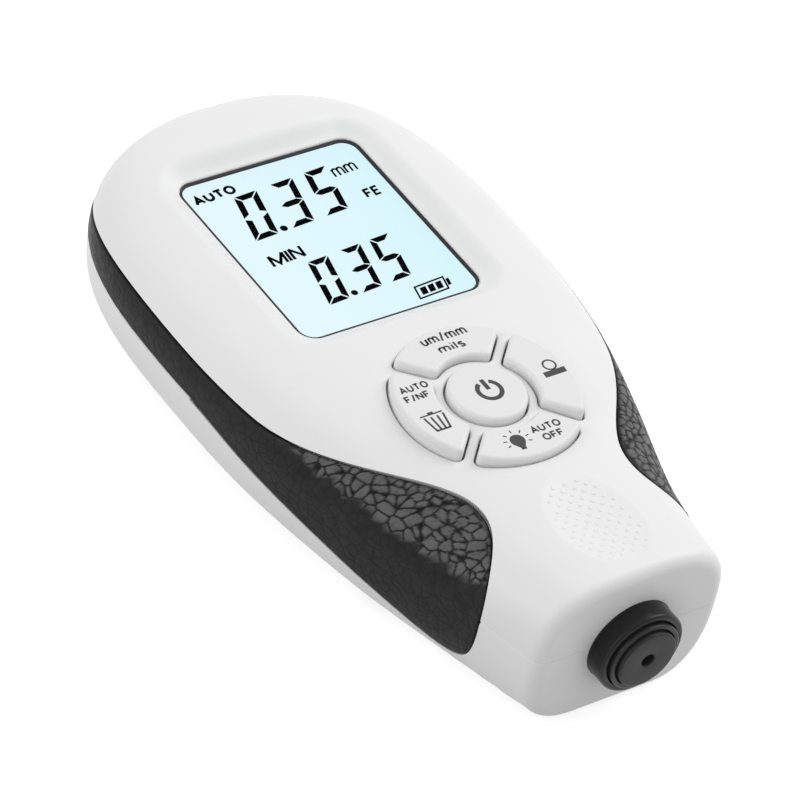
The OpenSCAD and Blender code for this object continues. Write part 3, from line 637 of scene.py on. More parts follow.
class Nodes:
    """A node tree of a finish or of the world."""

    def __init__(self, owner):
        owner.use_nodes = True
        self.tree = owner.node_tree

    def put(self, socket, value):
        if isinstance(value, Field):
            self.tree.links.new(value.socket, socket)
        else:
            socket.default_value = value

    def node(self, kind, settings=None, sockets=None, output=0):
        """Adds a node: its settings first, then the values or links of its sockets."""
        made = self.tree.nodes.new(kind)
        for name, value in (settings or {}).items():
            setattr(made, name, value)
        for key, value in (sockets or {}).items():
            self.put(made.inputs[key], value)
        return Field(self, made.outputs[output])

    def blend(self, factor, first, second):
        return self.node("ShaderNodeMix", {"data_type": "RGBA"},
                         {"Factor": factor, 6: (*first[:3], 1), 7: (*second[:3], 1)}, 2)

    def seen(self):
        """1 for what the camera sees, also by way of a gloss or a clear piece."""
        camera, gloss, clear = (self.node("ShaderNodeLightPath", output=f"Is {ray} Ray")
                                for ray in ("Camera", "Glossy", "Transmission"))
        return camera + gloss + clear


class Finish(Nodes):
    """A material, its Principled shader and what feeds it."""

    def __init__(self, name, colour=(0.8, 0.8, 0.8), **sockets):
        self.material = bpy.data.materials.new(name)
        super().__init__(self.material)
        self.shader = self.tree.nodes["Principled BSDF"]
        self.feed({"Base Color": (*colour[:3], 1)})
        self.feed({key.replace("_", " "): value for key, value in sockets.items()})

    def feed(self, sockets):
        for name, value in sockets.items():
            self.put(self.shader.inputs[name], value)

    def where(self):
        return self.node("ShaderNodeTexCoord", output="Object")

    def noise(self, scale, detail=2.0, where=None):
        return self.node("ShaderNodeTexNoise", None,
                         {"Vector": where or self.where(), "Scale": scale, "Detail": detail}, "Fac")

    def bump(self, height, strength, distance):
        normal = self.node("ShaderNodeBump", None,
                           {"Strength": strength, "Distance": distance * MM, "Height": height})
        self.feed({"Normal": normal})


FINISHES = {}


def finish_of(name, make):
    """A finish that several pieces share, made once."""
    if name not in FINISHES:
        FINISHES[name] = make(name).material
    return FINISHES[name]


def shade(colour, factor):
    return tuple(c * factor for c in colour[:3])


def moulded(colour, roughness, grain=0.02, shine=0.35):
    """Satin moulded plastic with a fine eroded grain and faint cloudiness."""
    def make(name):
        made = Finish(name, colour, Specular_IOR_Level=shine)
        cloud = made.noise(70.0, 3.0)
        fine = made.noise(4200.0, 2.0)
        made.feed({"Base Color": made.blend(cloud, shade(colour, 0.975), shade(colour, 1.015)),
                   "Roughness": roughness - 0.05 + cloud * 0.06 + fine * 0.05})
        made.bump(fine, 0.25, grain)
        return made
    return make


def leather(colour):
    """Grained black plastic; the mesh's own marks say where its creases are and how far it faces up. Its
    colour holds painted light: painted shade in the creases and along its edges, and a painted highlight on
    the grain that faces up.
    """
    def make(name):
        made = Finish(name, colour, Specular_IOR_Level=0.12)
        pebble, facing = (made.node("ShaderNodeAttribute", {"attribute_name": mark}, None, "Fac")
                          for mark in ("pebble", "facing"))
        fine = made.noise(2600.0, 4.0)
        drawn = made.node("ShaderNodeMapping", None, {"Vector": made.where(), "Scale": (1.0, 0.4, 0.8)})
        wrinkle = made.noise(800.0, 5.0, drawn)
        uneven = made.noise(420.0, 3.0) * 1.1 + 0.4
        # Painted light: grain that faces up is painted up to 7.5 times paler as a highlight; the creases and
        # edges, where pebble is low, are painted dark as shade.
        pale = pebble ** 1.6 * (facing * 0.88 + 0.12) * uneven
        made.feed({"Base Color": made.blend(pale, shade(colour, 0.25), shade(colour, 7.5)),
                   "Roughness": 0.55 - pebble * 0.18 + fine * 0.08})
        made.bump(fine + pebble * 0.6 + wrinkle * 2.5, 0.6, 0.06)
        return made
    return make


def metal(colour, roughness):
    def make(name):
        made = Finish(name, colour, Metallic=1.0)
        drawn = made.noise(900.0, 4.0)
        made.feed({"Roughness": roughness + drawn * 0.15,
                   "Base Color": made.blend(drawn, shade(colour, 0.85), shade(colour, 1.08))})
        return made
    return make


def lit(colour, strength):
    """Display glass lit from behind, a little paler towards the left."""
    def make(name):
        made = Finish(name, (0.02, 0.02, 0.02), Specular_IOR_Level=0.05, Emission_Strength=strength)
        across = made.node("ShaderNodeSeparateXYZ", None, {0: made.where()}, "X")
        cloud = made.noise(60.0, 1.0)
        share = across * 18.0 + 0.4 + cloud * 0.15
        made.feed({"Emission Color": made.blend(share, (0.82, 0.97, 1.0), colour)})
        return made
    return make


LENGTH = {"unit": "LENGTH", "precision": 5}
COLOUR = {"subtype": "COLOR", "min": 0, "max": 1}


class GaugeSizes(bpy.types.PropertyGroup):
    """Sizes of the look that a user may change."""

    bezel: FloatProperty(
        name="Bezel", description="Width of the slope round the window",
        default=3.7 * MM, min=2 * MM, max=4 * MM, **LENGTH)
    key_round: FloatProperty(
        name="Key edge", description="Radius of the upper edges of the keys",
        default=0.65 * MM, min=0.3 * MM, max=0.85 * MM, **LENGTH)
    rim_round: FloatProperty(
        name="Hole edge", description="Radius of the edges of the openings",
        default=0.28 * MM, min=0.1 * MM, max=0.4 * MM, **LENGTH)
    dot_pitch: FloatProperty(
        name="Dot pitch", description="Distance between dots in a row of the dimple",
        default=2.1 * MM, min=1.5 * MM, max=3 * MM, **LENGTH)
    pebble: FloatProperty(
        name="Grain size", description="Size of the grain of the grips",
        default=1.9 * MM, min=1 * MM, max=3 * MM, **LENGTH)
    pebble_deep: FloatProperty(
        name="Grain depth", description="Depth of the creases of the grips",
        default=0.12 * MM, min=0, max=0.14 * MM, **LENGTH)
    display_turn: FloatProperty(
        name="Display turn", description="Turn of the signs on the display",
        default=math.radians(3.5), min=-0.2, max=0.2, subtype="ANGLE")
    seed: IntProperty(name="Grain seed", description="Seed of the grain of the grips", default=7, min=0)


class GaugeColours(bpy.types.PropertyGroup):
    """Colours of the look that a user may change."""

    cover: FloatVectorProperty(
        name="Covers", description="White of the two covers", default=(0.83, 0.83, 0.83), **COLOUR)
    keys: FloatVectorProperty(
        name="Keys", description="White of the keys", default=(0.79, 0.79, 0.79), **COLOUR)
    grip: FloatVectorProperty(
        name="Grips", description="Black of the side grips", default=(0.017, 0.017, 0.0175), **COLOUR)
    gasket: FloatVectorProperty(
        name="Gasket", description="Dark strip inside the window", default=(0.022, 0.023, 0.025), **COLOUR)
    display: FloatVectorProperty(
        name="Display", description="Colour of the lit display", default=(0.66, 0.925, 1.0), **COLOUR)
    ink: FloatVectorProperty(
        name="Print", description="Dark grey of the marks on the keys",
        default=(0.045, 0.045, 0.048), **COLOUR)
    collar: FloatVectorProperty(
        name="Collar", description="Black of the probe collar", default=(0.012, 0.012, 0.013), **COLOUR)
    barrel: FloatVectorProperty(
        name="Probe face", description="Dark grey of the probe face",
        default=(0.024, 0.024, 0.0255), **COLOUR)


DOT_R, DOT_H, DOT_SINK = 0.34, 0.16, 0.03


def window_loop(grow=0.0):
    return round_rect(WINDOW_W + 2 * grow, WINDOW_L + 2 * grow, WINDOW_R + grow, LCD_Y)


def arc_turn(k):
    return math.pi / 2 * k


class GAUGE_OT_top_cover(bpy.types.Operator):
    """Makes the upper cover with its window, bezel, key holes and dotted finger dimple"""

    bl_idname = "gauge.top_cover"
    bl_label = "Upper cover"

    def execute(self, context):
        sizes, colours = context.scene.gauge_sizes, context.scene.gauge_colours
        white = finish_of("satin_white", moulded(colours.cover, 0.42))
        shape, rim = Shape(), sizes.rim_round / MM
        bezel, rim_z = sizes.bezel / MM, LENS_Z + BEZEL_FOOT
        loop, normals = window_loop(GASKET_W + LENS_GAP)

        def on_top(p):
            return top_level(p[:, 0], p[:, 1])

        def slope(p, out):
            s = unit(out / bezel)
            return rim_z + (on_top(p) - rim_z) * (0.3 * s + 0.7 * smooth(s))

        steps = [(rim * (1 - math.cos(t)), rim * (1 - math.sin(t))) for t in np.radians(RIM_TURNS)]
        steps += [(e, 0) for e in np.linspace(0.5, bezel, 11)]
        holes = [[(loop + normals * e, slope(loop + normals * e, e) - d) for e, d in steps]]
        walls = [(loop, holes[0][0][1], LENS_Z)]
        key_holes = [circle(POWER_R + KEY_GAP, 0, KEY_Y, 96)]
        key_holes += [key_sector(KEY_GAP, KEY_CORNER + KEY_GAP, arc_turn(k)) for k in range(4)]
        for loop, normals in key_holes:
            holes.append(rim_rings(loop, normals, on_top, rim, True))
            walls.append((loop, holes[-1][0][1], DECK_Z))
        creases = [dimple_edge(g) for g in (-0.4, -0.12, 0.12, 0.4)]
        cover_shell(shape, True, holes, top_level, 0.9, creases)
        for loop, z, bottom in walls:
            shape.stack([lift(loop, z), lift(loop, bottom)])
        build("cover_upper", shape, white, "case", ["top_cover"], sharp=32)
        dots, pitch = Shape(), sizes.dot_pitch / MM
        spots = np.array([(pitch * (k + 0.5 * (j % 2)), DIMPLE_Y + pitch / 2 * j)
                          for j in range(-9, 10) for k in range(-5, 6)])
        for x, y in spots[inside(dimple_edge(-0.7), spots)]:
            z = float(top_level(np.array(x), np.array(y)))
            dots.solid([lift(circle(DOT_R * math.cos(t), x, y, 14)[0], z - DOT_SINK + DOT_H * math.sin(t))
                        for t in np.radians((0, 25, 50, 72))])
        build("dimple_dots", dots, white, "case")
        return {"FINISHED"}


class GAUGE_OT_bottom_cover(bpy.types.Operator):
    """Makes the lower cover with the battery bay, the door's rebate and the screw wells"""

    bl_idname = "gauge.bottom_cover"
    bl_label = "Lower cover"

    def execute(self, context):
        colours = context.scene.gauge_colours
        white = finish_of("satin_white", moulded(colours.cover, 0.42))
        shape = Shape()

        def under(x, y):
            return level(skin(x, y, False), False)

        def on_under(p):
            return under(p[:, 0], p[:, 1])

        rebate, out = round_rect(DOOR_W + 2 * DOOR_GAP, DOOR_L + 2 * DOOR_GAP, 2, DOOR_Y)
        holes = [rim_rings(rebate, out, on_under, 0.2, False)]
        mouth = [round_rect(2 * (BOX_HALF - d), BOX_REAR - BOX_FRONT - 2 * d, 0.8,
                            (BOX_FRONT + BOX_REAR) / 2)[0] for d in (0.6, 0)]
        shape.stack([lift(rebate, holes[0][0][1]), lift(rebate, DOOR_T), lift(mouth[0], DOOR_T),
                     lift(mouth[0], 3), lift(mouth[1], 3), lift(mouth[1], BOX_TOP)], True)
        for x, y in CASE_AT:
            bore, out = circle(BORE_R, x, y, 40)
            holes.append(rim_rings(bore, out, on_under, 0.15, False))
            seat = circle(SHANK_R, x, y, 40)[0]
            shape.stack([lift(bore, holes[-1][0][1]), lift(bore, SEAT_Z), lift(seat, SEAT_Z),
                         lift(seat, SPLIT)], True)
        cover_shell(shape, False, holes, under, 1.3)
        build("cover_lower", shape, white, "case", ["bottom_cover"], sharp=32)
        plugs = Shape()
        for x, y in CASE_AT:
            loop, out = circle(PLUG_R, x, y, 40)
            foot = on_under(loop)
            plugs.solid([lift(loop - out * 0.15, foot + 0.12), lift(loop, foot + 0.25), lift(loop, PLUG_TOP)])
        rubber = finish_of("plug_rubber", moulded(colours.gasket, 0.6))
        build("well_plugs", plugs, rubber, "case", ["screw_plugs"])
        dress("battery_door", white)
        return {"FINISHED"}


def crease_distance(spots, size, seed):
    """How much nearer each spot is to its own grain than to the next one."""
    draw = np.random.default_rng(seed)
    middles = np.array([(y, s) for s in np.arange(-14, 16, size * 0.8) for y in np.arange(-48, 60, size)])
    middles += draw.uniform(-0.75, 0.75, middles.shape) * size * 0.8
    gap = np.empty(len(spots))
    order = np.argsort(spots[:, 0], kind="stable")
    for part in np.array_split(order, 120):
        here = spots[part]
        close = middles[(middles[:, 0] > here[0, 0] - 5 * size) & (middles[:, 0] < here[-1, 0] + 5 * size)]
        far = np.sqrt(((here[:, None, :] - close[None]) ** 2).sum(axis=2))
        two = np.partition(far, 1, axis=1)
        gap[part] = two[:, 1] - two[:, 0]
    return gap


def grip_columns():
    """Stations along a grip, closest at its ends."""
    step, turn = np.array((0, 0.08, 0.2, 0.35)), np.radians(np.linspace(0, 90, 84))
    runs = (GRIP_FRONT + GRIP_GAP + step,
            GRIP_FRONT + 0.5 + (GRIP_ROUND - 0.5) * (1 - np.cos(turn)),
            np.linspace(GRIP_FRONT + GRIP_ROUND, 0, 190), np.linspace(0, GRIP_REAR - 0.6, 206),
            GRIP_REAR - GRIP_GAP - step)
    return np.unique(np.round(np.concatenate(runs), 4))


def grip_rows(ys):
    """Heights of a grip's points from the joint, and how far each is from the grip's edge."""
    fall = smooth((ys - GRIP_LOW_END + LOW_FADE) / LOW_FADE)
    bottom = (GRIP_GAP - grip_band(ys, False)) * (1 - fall) + GRIP_GAP * fall
    top = grip_band(ys, True) - GRIP_GAP
    rim, field = (0, 0.05, 0.13, 0.24, GRIP_ROLL), GRIP_ROLL + 0.05
    rows = [np.minimum(bottom + d, (bottom + top) / 2) for d in rim]
    rows += [bottom + field + (top - bottom - 2 * field) * s for s in np.linspace(0, 1, 122)[1:-1]]
    rows += [np.maximum(top - d, (bottom + top) / 2) for d in rim[::-1]]
    heights = np.sort(np.array(rows), axis=0)
    ends = np.minimum(ys - ys[0], ys[-1] - ys)
    return heights, np.minimum(np.minimum(heights - bottom, top - heights), ends)


def grip_surface(ys, heights, inset):
    """x and z of a grip's points, moved inwards from the outside of the covers."""
    x, z = np.empty_like(heights), np.empty_like(heights)
    for j, (h, d) in enumerate(zip(heights, np.broadcast_to(inset, heights.shape))):
        xu, wu = on_section(ys, angle_at(ys, np.maximum(h, 0), True), True, d)
        xl, wl = on_section(ys, angle_at(ys, np.maximum(-h, 0), False), False, d)
        x[j], z[j] = np.where(h >= 0, xu, xl), np.where(h >= 0, SPLIT + wu, SPLIT - wl)
    return x, z


def grip_marks(ys, heights, from_edge, size, seed):
    """How high the grain stands and how far it faces up, each from 0 to 1; the finish paints shade where the
    grain is low and a highlight where it faces up.
    """
    x, z = grip_surface(ys, heights, 0.0)
    run = np.zeros_like(x)
    run[1:] = np.cumsum(np.hypot(np.diff(x, axis=0), np.diff(z, axis=0)), axis=0)
    run -= run[np.abs(heights).argmin(axis=0), np.arange(len(ys))]
    across = np.gradient(x, axis=0)
    along = np.maximum(np.hypot(across, np.gradient(z, axis=0)), 1e-9)
    sway = 0.05 * np.sin(0.9 * ys + 1.3 * np.sin(0.37 * ys)) + 0.04 * np.sin(2.3 * ys + 1.7 * run)
    # facing picks the upper front of each grip, which the finish paints paler as a painted highlight.
    facing = smooth((np.abs(across) / along - 0.42 + sway) / 0.16) * smooth((-4 - ys) / 8)
    spots = np.column_stack([np.tile(ys, len(heights)), run.ravel()])
    coarse, fine = (crease_distance(spots, size * k, seed + j).reshape(heights.shape)
                    for j, k in enumerate((1.0, 0.5)))
    pebble = smooth(coarse / (0.2 * size)) * (0.84 + 0.16 * smooth(fine / (0.12 * size)))
    # pebble falls to 0 along the edges, so the creases deepen there and the finish paints the edges dark as
    # painted shade.
    pebble = (1 - (1 - pebble) * (0.3 + 0.7 * facing)) * unit(from_edge / 0.3)
    return pebble, facing


class GAUGE_OT_grips(bpy.types.Operator):
    """Makes the two side grips as grained slabs with rolled edges"""

    bl_idname = "gauge.grips"
    bl_label = "Side grips"

    def execute(self, context):
        sizes, colours = context.scene.gauge_sizes, context.scene.gauge_colours
        black = finish_of("grained_black", leather(colours.grip))
        ys = grip_columns()
        heights, from_edge = grip_rows(ys)
        pebble, facing = grip_marks(ys, heights, from_edge, sizes.pebble / MM, sizes.seed)
        roll = GRIP_ROLL * (1 - np.sqrt(1 - unit((GRIP_ROLL - from_edge) / GRIP_ROLL) ** 2))
        crease = sizes.pebble_deep / MM * (1 - pebble)
        x, z = grip_surface(ys, heights, -GRIP_PROUD + roll + crease)
        back_x, back_z = grip_surface(ys, heights, GRIP_DEPTH - GRIP_GLUE)
        back_rows = np.linspace(0, len(heights) - 1, 10).round().astype(int)
        for side, name, node in ((1, "grip_right", "right_grip"), (-1, "grip_left", "left_grip")):
            shape, flip = Shape(), side < 0
            front = np.array([shape.row(side * x[j], ys, z[j]) for j in range(len(heights))])
            back = np.array([shape.row(side * back_x[j], ys, back_z[j]) for j in back_rows])
            for rows, way in ((front, flip), (back, not flip), (np.array((front[-1], back[-1])), flip),
                              (np.array((back[0], front[0])), flip)):
                for a, b in zip(rows.tolist(), rows[1:].tolist()):
                    shape.strip(a, b, False, way)
            for end, way in ((0, flip), (-1, not flip)):
                shape.face(front[:, end].tolist() + back[::-1, end].tolist(), way)
            # The pebble and facing marks carry the painted shade and the painted highlight of the grain to
            # the grip finish.
            unseen = np.zeros(back.size)
            marks = {key: np.concatenate([mark.ravel(), unseen])
                     for key, mark in (("pebble", pebble), ("facing", facing))}
            build(name, shape, black, "case", [node], sharp=60, marks=marks)
        return {"FINISHED"}


READING, SEGMENTS = "035", {"0": "abcdef", "3": "abcdg", "5": "acdfg"}
DIGIT_GAP, SLANT, PIVOT = 0.16, math.tan(math.radians(16)), np.array([0, 27.0])
# Rows of digits: left edges, foot, width, height and stroke, then the point's middle and radius
DIGITS = (((-9.5, -2.7, 3.8), 31.4, 4.25, 9.7, 1.12, (-3.85, 32.0), 0.62),
          ((-8.0, -1.85, 3.7), 14.75, 3.8, 9.3, 1.05, (-2.9, 15.35), 0.56))
# Words: left and right edge, foot and top, weight and lean
DISPLAY_WORDS = (("AUTO", -12.9, -5.2, 41.9, 43.9, 0.5, 0.0), ("mm", 10.6, 15.1, 38.0, 40.7, 0.36, 0.1),
                 ("FE", 12.2, 15.1, 31.9, 34.0, 0.44, 0.1), ("MIN", -10.6, -4.4, 25.2, 28.0, 0.5, 0.12))
# Battery sign: left and right edge, foot and top of the frame, its line, its knob and its bars
CELL, CELL_LINE, CELL_KNOB = (5.2, 10.9, 9.6, 12.4), 0.32, (11.0, 11.6, 10.3, 11.7)
CELL_BARS = tuple((6.1 + 1.45 * k, 6.1 + 1.45 * k + 1.1, 10.25, 11.75) for k in range(3))
# Window strip from its outer foot to its inner foot: share of its width, step inwards and height
STRIP = ((1, 0, 0), (1, 0, 0.34), (1, -0.06, 0.36), (0, 0.06, 0.26), (0, 0, 0.22), (0, 0, 0))


def segment_outlines(w, h, t, g):
    """Outlines of the seven bars of a digit in a cell w by h, with stroke t and gap g."""
    m = h / 2
    bars = {
        "a": ((g, h), (w - g, h), (w - t - g, h - t), (t + g, h - t)),
        "d": ((t + g, t), (w - t - g, t), (w - g, 0), (g, 0)),
        "f": ((0, h - g), (t, h - t - g), (t, m + t / 2 + g), (0, m + g)),
        "e": ((0, m - g), (t, m - t / 2 - g), (t, t + g), (0, g)),
        "b": ((w, h - g), (w, m + g), (w - t, m + t / 2 + g), (w - t, h - t - g)),
        "c": ((w, m - g), (w, g), (w - t, t + g), (w - t, m - t / 2 - g)),
        "g": ((g, m), (t, m + t / 2), (w - t, m + t / 2), (w - g, m), (w - t, m - t / 2), (t, m - t / 2)),
    }
    return {k: np.array(v, float)[::-1] for k, v in bars.items()}


class GAUGE_OT_display(bpy.types.Operator):
    """Makes the gasket, the clear lens, the lit display glass and its signs"""

    bl_idname = "gauge.display"
    bl_label = "Display"

    def execute(self, context):
        sizes, colours = context.scene.gauge_sizes, context.scene.gauge_colours
        gasket = Shape()
        inner, n = window_loop()
        rows = gasket.stack([lift(inner + n * (GASKET_W * share) + n * step, LENS_Z + h)
                             for share, step, h in STRIP])
        gasket.strip(rows[-1], rows[0])
        strip = finish_of("dark_strip", moulded(colours.gasket, 0.5, 0.02, 0.2))
        build("window_strip", gasket, strip, "case", ["window_gasket"])
        clear = Finish("clear_lens", (0.01, 0.012, 0.014), Roughness=0.06, Specular_IOR_Level=0.1, Alpha=0.02)
        haze = clear.noise(150.0, 2.0)
        clear.feed({"Roughness": 0.04 + haze * 0.04})
        dress("lcd_window", clear.material)
        glass, face_z = Shape(), GLASS_Z - 0.03
        border = 2 * LENS_RIM - 0.4
        glass.prism(round_rect(WINDOW_W + border, WINDOW_L + border, POCKET_R, LCD_Y)[0], LIGHT_Z, face_z)
        shine = finish_of("lit_display", lit(colours.display, 1.0))
        build("display_glass", glass, shine, "case", ["lcd_panel"])
        c, s = math.cos(sizes.display_turn), math.sin(sizes.display_turn)
        signs = Print(face_z + 0.004, face_z + 0.022,
                      lambda p: (np.asarray(p) - PIVOT) @ np.array([[c, s], [-s, c]]) + PIVOT)

        def slanted(outline, x, y):
            return np.column_stack([outline[:, 0] + (x + SLANT * (outline[:, 1] - y)), outline[:, 1]])

        for lefts, y, w, h, weight, point, radius in DIGITS:
            bars = segment_outlines(w, h, weight, DIGIT_GAP)
            for sign, x in zip(READING, lefts):
                for bar in SEGMENTS[sign]:
                    signs.fill(slanted(bars[bar] + np.array([0, y]), x, y))
            signs.fill(circle(radius, *point, 28)[0])
        for text, x0, x1, y0, y1, weight, lean in DISPLAY_WORDS:
            signs.word(text, x0, x1, y0, y1, weight, 0.08, lean)
        inset = oblong(CELL_LINE, -CELL_LINE, CELL_LINE, -CELL_LINE)
        signs.frame(*(slanted(oblong(*CELL) + grow, 0, CELL[2]) for grow in (0, inset)))
        for sides in (CELL_KNOB, *CELL_BARS):
            signs.fill(slanted(oblong(*sides), 0, CELL[2]))
        dark = Finish("display_ink", (0.002, 0.002, 0.002), Specular_IOR_Level=0.0)
        dark.feed({"Base Color": dark.blend(dark.noise(300.0), (0.001,) * 3, (0.004,) * 3)})
        build("display_signs", signs, dark.material, "case")
        return {"FINISHED"}


def key_body(shape, loop, normals, inner, edge):
    """Key from its flange to the flat top inside the rounded edge."""
    rows = [lift(loop + normals * 0.6, FLANGE_Z), lift(loop + normals * 0.6, DECK_Z), lift(loop, DECK_Z)]
    for t in np.radians(np.linspace(0, 90, 9)):
        rows.append(lift(loop - normals * edge * (1 - math.cos(t)), KEY_TOP - edge * (1 - math.sin(t))))
    rows.append(lift(loop - normals * (edge + 0.05), KEY_TOP))
    shape.solid(rows)
    shape.prism(circle(STEM_R, *inner, 32)[0], STEM_Z, FLANGE_Z + 0.2)


def power_sign(mark):
    """Ring open at the rear, with a bar."""
    x, y, r, w, gap = 0.3, KEY_Y, 2.2, 0.72, math.radians(28)
    t = np.linspace(math.pi / 2 + gap, math.pi * 5 / 2 - gap, 60)
    ring = [np.column_stack([x + q * np.cos(t), y + q * np.sin(t)]) for q in (r, r - w)]
    mark.fill(np.concatenate([ring[0], ring[1][::-1]]))
    mark.line(w, ((x, y + 0.15), (x, y + 2.35)))


def calibrate_sign(mark):
    """Ring that stands on a bar."""
    mark.frame(*(circle(r, 11.75, -14.4, 40)[0] for r in (1.15, 0.85)))
    mark.fill(np.array(((9.7, -16.6), (13.5, -16.6), (13.65, -15.5), (9.8, -15.5))))


def unit_sign(mark):
    mark.word("um/mm", -3.5, 4.5, -3.8, -1.9, 0.34, 0.12)
    mark.word("mils", -1.9, 2.7, -6.05, -4.4, 0.34, 0.15)


def mode_sign(mark):
    """Two words over a bin."""
    mark.word("AUTO", -12.4, -7.5, -11.2, -9.8, 0.3, 0.1)
    mark.word("F/NF", -12.7, -8.4, -13.1, -11.7, 0.3, 0.14)
    mark.line(0.26, ((-12.7, -16.3), (-8.85, -16.3)))
    mark.line(0.36, ((-11.25, -16.0), (-10.3, -16.0)))
    mark.line(0.34, ((-12.25, -16.65), (-11.85, -19.7)), ((-8.95, -16.65), (-9.55, -19.7)),
              ((-11.15, -16.8), (-11.07, -19.6)), ((-10.05, -16.8), (-10.3, -19.6)),
              ((-11.95, -19.62), (-9.45, -19.62)))


def light_sign(mark):
    """Bulb with rays and two words."""
    x, y, r = -2.05, -26.0, 1.2
    t = np.radians(np.linspace(-38, 218, 36))
    bulb = np.column_stack([x + r * np.cos(t), y + r * np.sin(t)])
    base = np.array(((x - 0.45, y - 1.45), (x - 0.4, y - 1.95), (x + 0.4, y - 1.95), (x + 0.45, y - 1.45)))
    mark.fill(np.concatenate([bulb, base]))
    for a in np.radians((-20, 12, 48, 90, 132, 168, 200)):
        ray = np.array([math.cos(a), math.sin(a)])
        mark.line(0.2, ((x, y) + 1.65 * ray, (x, y) + 2.25 * ray))
    mark.word("AUTO", 0.9, 6.1, -25.8, -24.4, 0.3, 0.1)
    mark.word("OFF", 1.8, 5.4, -27.7, -26.3, 0.3, 0.1)


class GAUGE_OT_keys(bpy.types.Operator):
    """Makes the round power key, the four arc keys and the marks on them"""

    bl_idname = "gauge.keys"
    bl_label = "Keys"

    def execute(self, context):
        sizes, colours = context.scene.gauge_sizes, context.scene.gauge_colours
        white = finish_of("key_white", moulded(colours.keys, 0.38))
        ink = finish_of("printed_grey", moulded(colours.ink, 0.5))
        edge = sizes.key_round / MM
        keys = [("power", circle(POWER_R, 0, KEY_Y, 96), (0, KEY_Y), power_sign)]
        for k, (name, sign) in enumerate((("calibrate", calibrate_sign), ("unit", unit_sign),
                                          ("mode", mode_sign), ("light", light_sign))):
            t = arc_turn(k)
            middle = (KEY_MID * math.cos(t), KEY_Y + KEY_MID * math.sin(t))
            keys.append((name, key_sector(0, KEY_CORNER, t), middle, sign))
        for name, (loop, normals), middle, sign in keys:
            shape, mark = Shape(), Print(KEY_TOP - 0.02, KEY_TOP + 0.012)
            key_body(shape, loop, normals, middle, edge)
            build(f"key_{name}", shape, white, f"{name}_key", [f"{name}_button"])
            sign(mark)
            build(f"mark_{name}", mark, ink, f"{name}_key")
        return {"FINISHED"}


class GAUGE_OT_probe(bpy.types.Operator):
    """Makes the stepped collar, the sleeve and the sliding probe barrel"""

    bl_idname = "gauge.probe"
    bl_label = "Probe"

    def execute(self, context):
        colours = context.scene.gauge_colours
        black = finish_of("gloss_black", moulded(colours.collar, 0.24, 0.006, 0.2))
        grey = finish_of("probe_grey", moulded(colours.barrel, 0.42, 0.02, 0.2))
        dark = finish_of("sleeve_black", moulded(shade(colours.collar, 1.6), 0.3, 0.006, 0.25))
        collar, sleeve, barrel = Shape(), Shape(), Shape()
        front, bore = COLLAR_FRONT, SLEEVE_R + 0.03
        turned(collar, [(bore, front + 0.45), (bore + 0.14, front + 0.1)]
               + corner_arc(bore + 0.22, front + 0.1, 0.08, 180, 270, 4)
               + corner_arc(COLLAR_R - 0.5, front + 0.5, 0.5, -90, 0, 9)
               + [(COLLAR_R, FACE - 0.15), (COLLAR_R + 0.12, FACE), (NECK_R, FACE),
                  (NECK_R, NECK_END), (bore, NECK_END)])
        front, bore, neck = SLEEVE_FRONT, BARREL_R + 0.05, NECK_R - 0.05
        turned(sleeve, [(bore, front + 0.4), (bore + 0.2, front + 0.03), (bore + 0.26, front)]
               + corner_arc(SLEEVE_R - 0.25, front + 0.25, 0.25, -90, 0)
               + [(SLEEVE_R, NECK_END), (neck, NECK_END), (neck, FLANGE_Y), (bore, FLANGE_Y)])
        front, neck, end = BARREL_FRONT, NECK_R - 0.3, FLANGE_END + STUB_L
        turned(barrel, [(TIP_HOLE_R, front + 0.25)]
               + corner_arc(TIP_HOLE_R + 0.25, front + 0.25, 0.25, 180, 270)
               + corner_arc(BARREL_R - 0.3, front + 0.3, 0.3, -90, 0)
               + [(BARREL_R, FLANGE_Y), (neck, FLANGE_Y), (neck, FLANGE_END), (STUB_R, FLANGE_END),
                  (STUB_R, end), (COIL_BORE, end), (COIL_BORE, front + TIP_T),
                  (TIP_HOLE_R, front + TIP_T)])
        build("collar_ring", collar, black, "case", ["probe_collar"], outward=True)
        build("sleeve_ring", sleeve, dark, "case", ["probe_sleeve"], outward=True)
        build("barrel_nose", barrel, grey, "probe", ["probe_barrel"], outward=True)
        return {"FINISHED"}


# Finishes of the CAD pieces inside the covers, and the nodes that they dress
INNER = (
    ("bright_steel", metal((0.62, 0.62, 0.61), 0.25),
     "contact_springs", "contact_plates", "case_screws", "board_screws"),
    ("board_green", moulded((0.02, 0.11, 0.05), 0.4), "main_board"),
    ("diffuser_white", moulded((0.85, 0.88, 0.9), 0.5), "backlight_panel"),
    ("elastomer_pink", moulded((0.55, 0.3, 0.31), 0.6), "zebra_connector"),
    ("dome_rubber", moulded((0.62, 0.62, 0.58), 0.6), "key_sheet"),
    ("guide_grey", moulded((0.26, 0.26, 0.27), 0.45), "probe_guide"),
    ("ferrite_black", moulded((0.006, 0.006, 0.006), 0.7, 0.02, 0.05), "probe_core"),
    ("coil_copper", metal((0.72, 0.36, 0.2), 0.3), "probe_coil"),
    ("cell_sleeve", moulded((0.05, 0.14, 0.32), 0.35), "battery_1", "battery_2"),
)


class GAUGE_OT_inner_parts(bpy.types.Operator):
    """Winds the probe spring and gives the other pieces inside the covers their finishes"""

    bl_idname = "gauge.inner_parts"
    bl_label = "Inner pieces"

    def execute(self, context):
        for name, make, *nodes in INNER:
            for node in nodes:
                dress(node, finish_of(name, make))
        spring, ends = Shape(), SPRING_WIRE + SPRING_GAP
        low, high = FLANGE_END + ends, SPRING_END - ends
        coil(spring, low, high, SPRING_R, SPRING_WIRE, SPRING_TURNS)
        start, end = ((0, y * MM, PROBE_Z * MM) for y in (low + 2 * SPRING_WIRE, high - 2 * SPRING_WIRE))
        build("spring_coil", spring, FINISHES["bright_steel"], ("probe", "case", start, end),
              ["probe_spring"], outward=True)
        return {"FINISHED"}


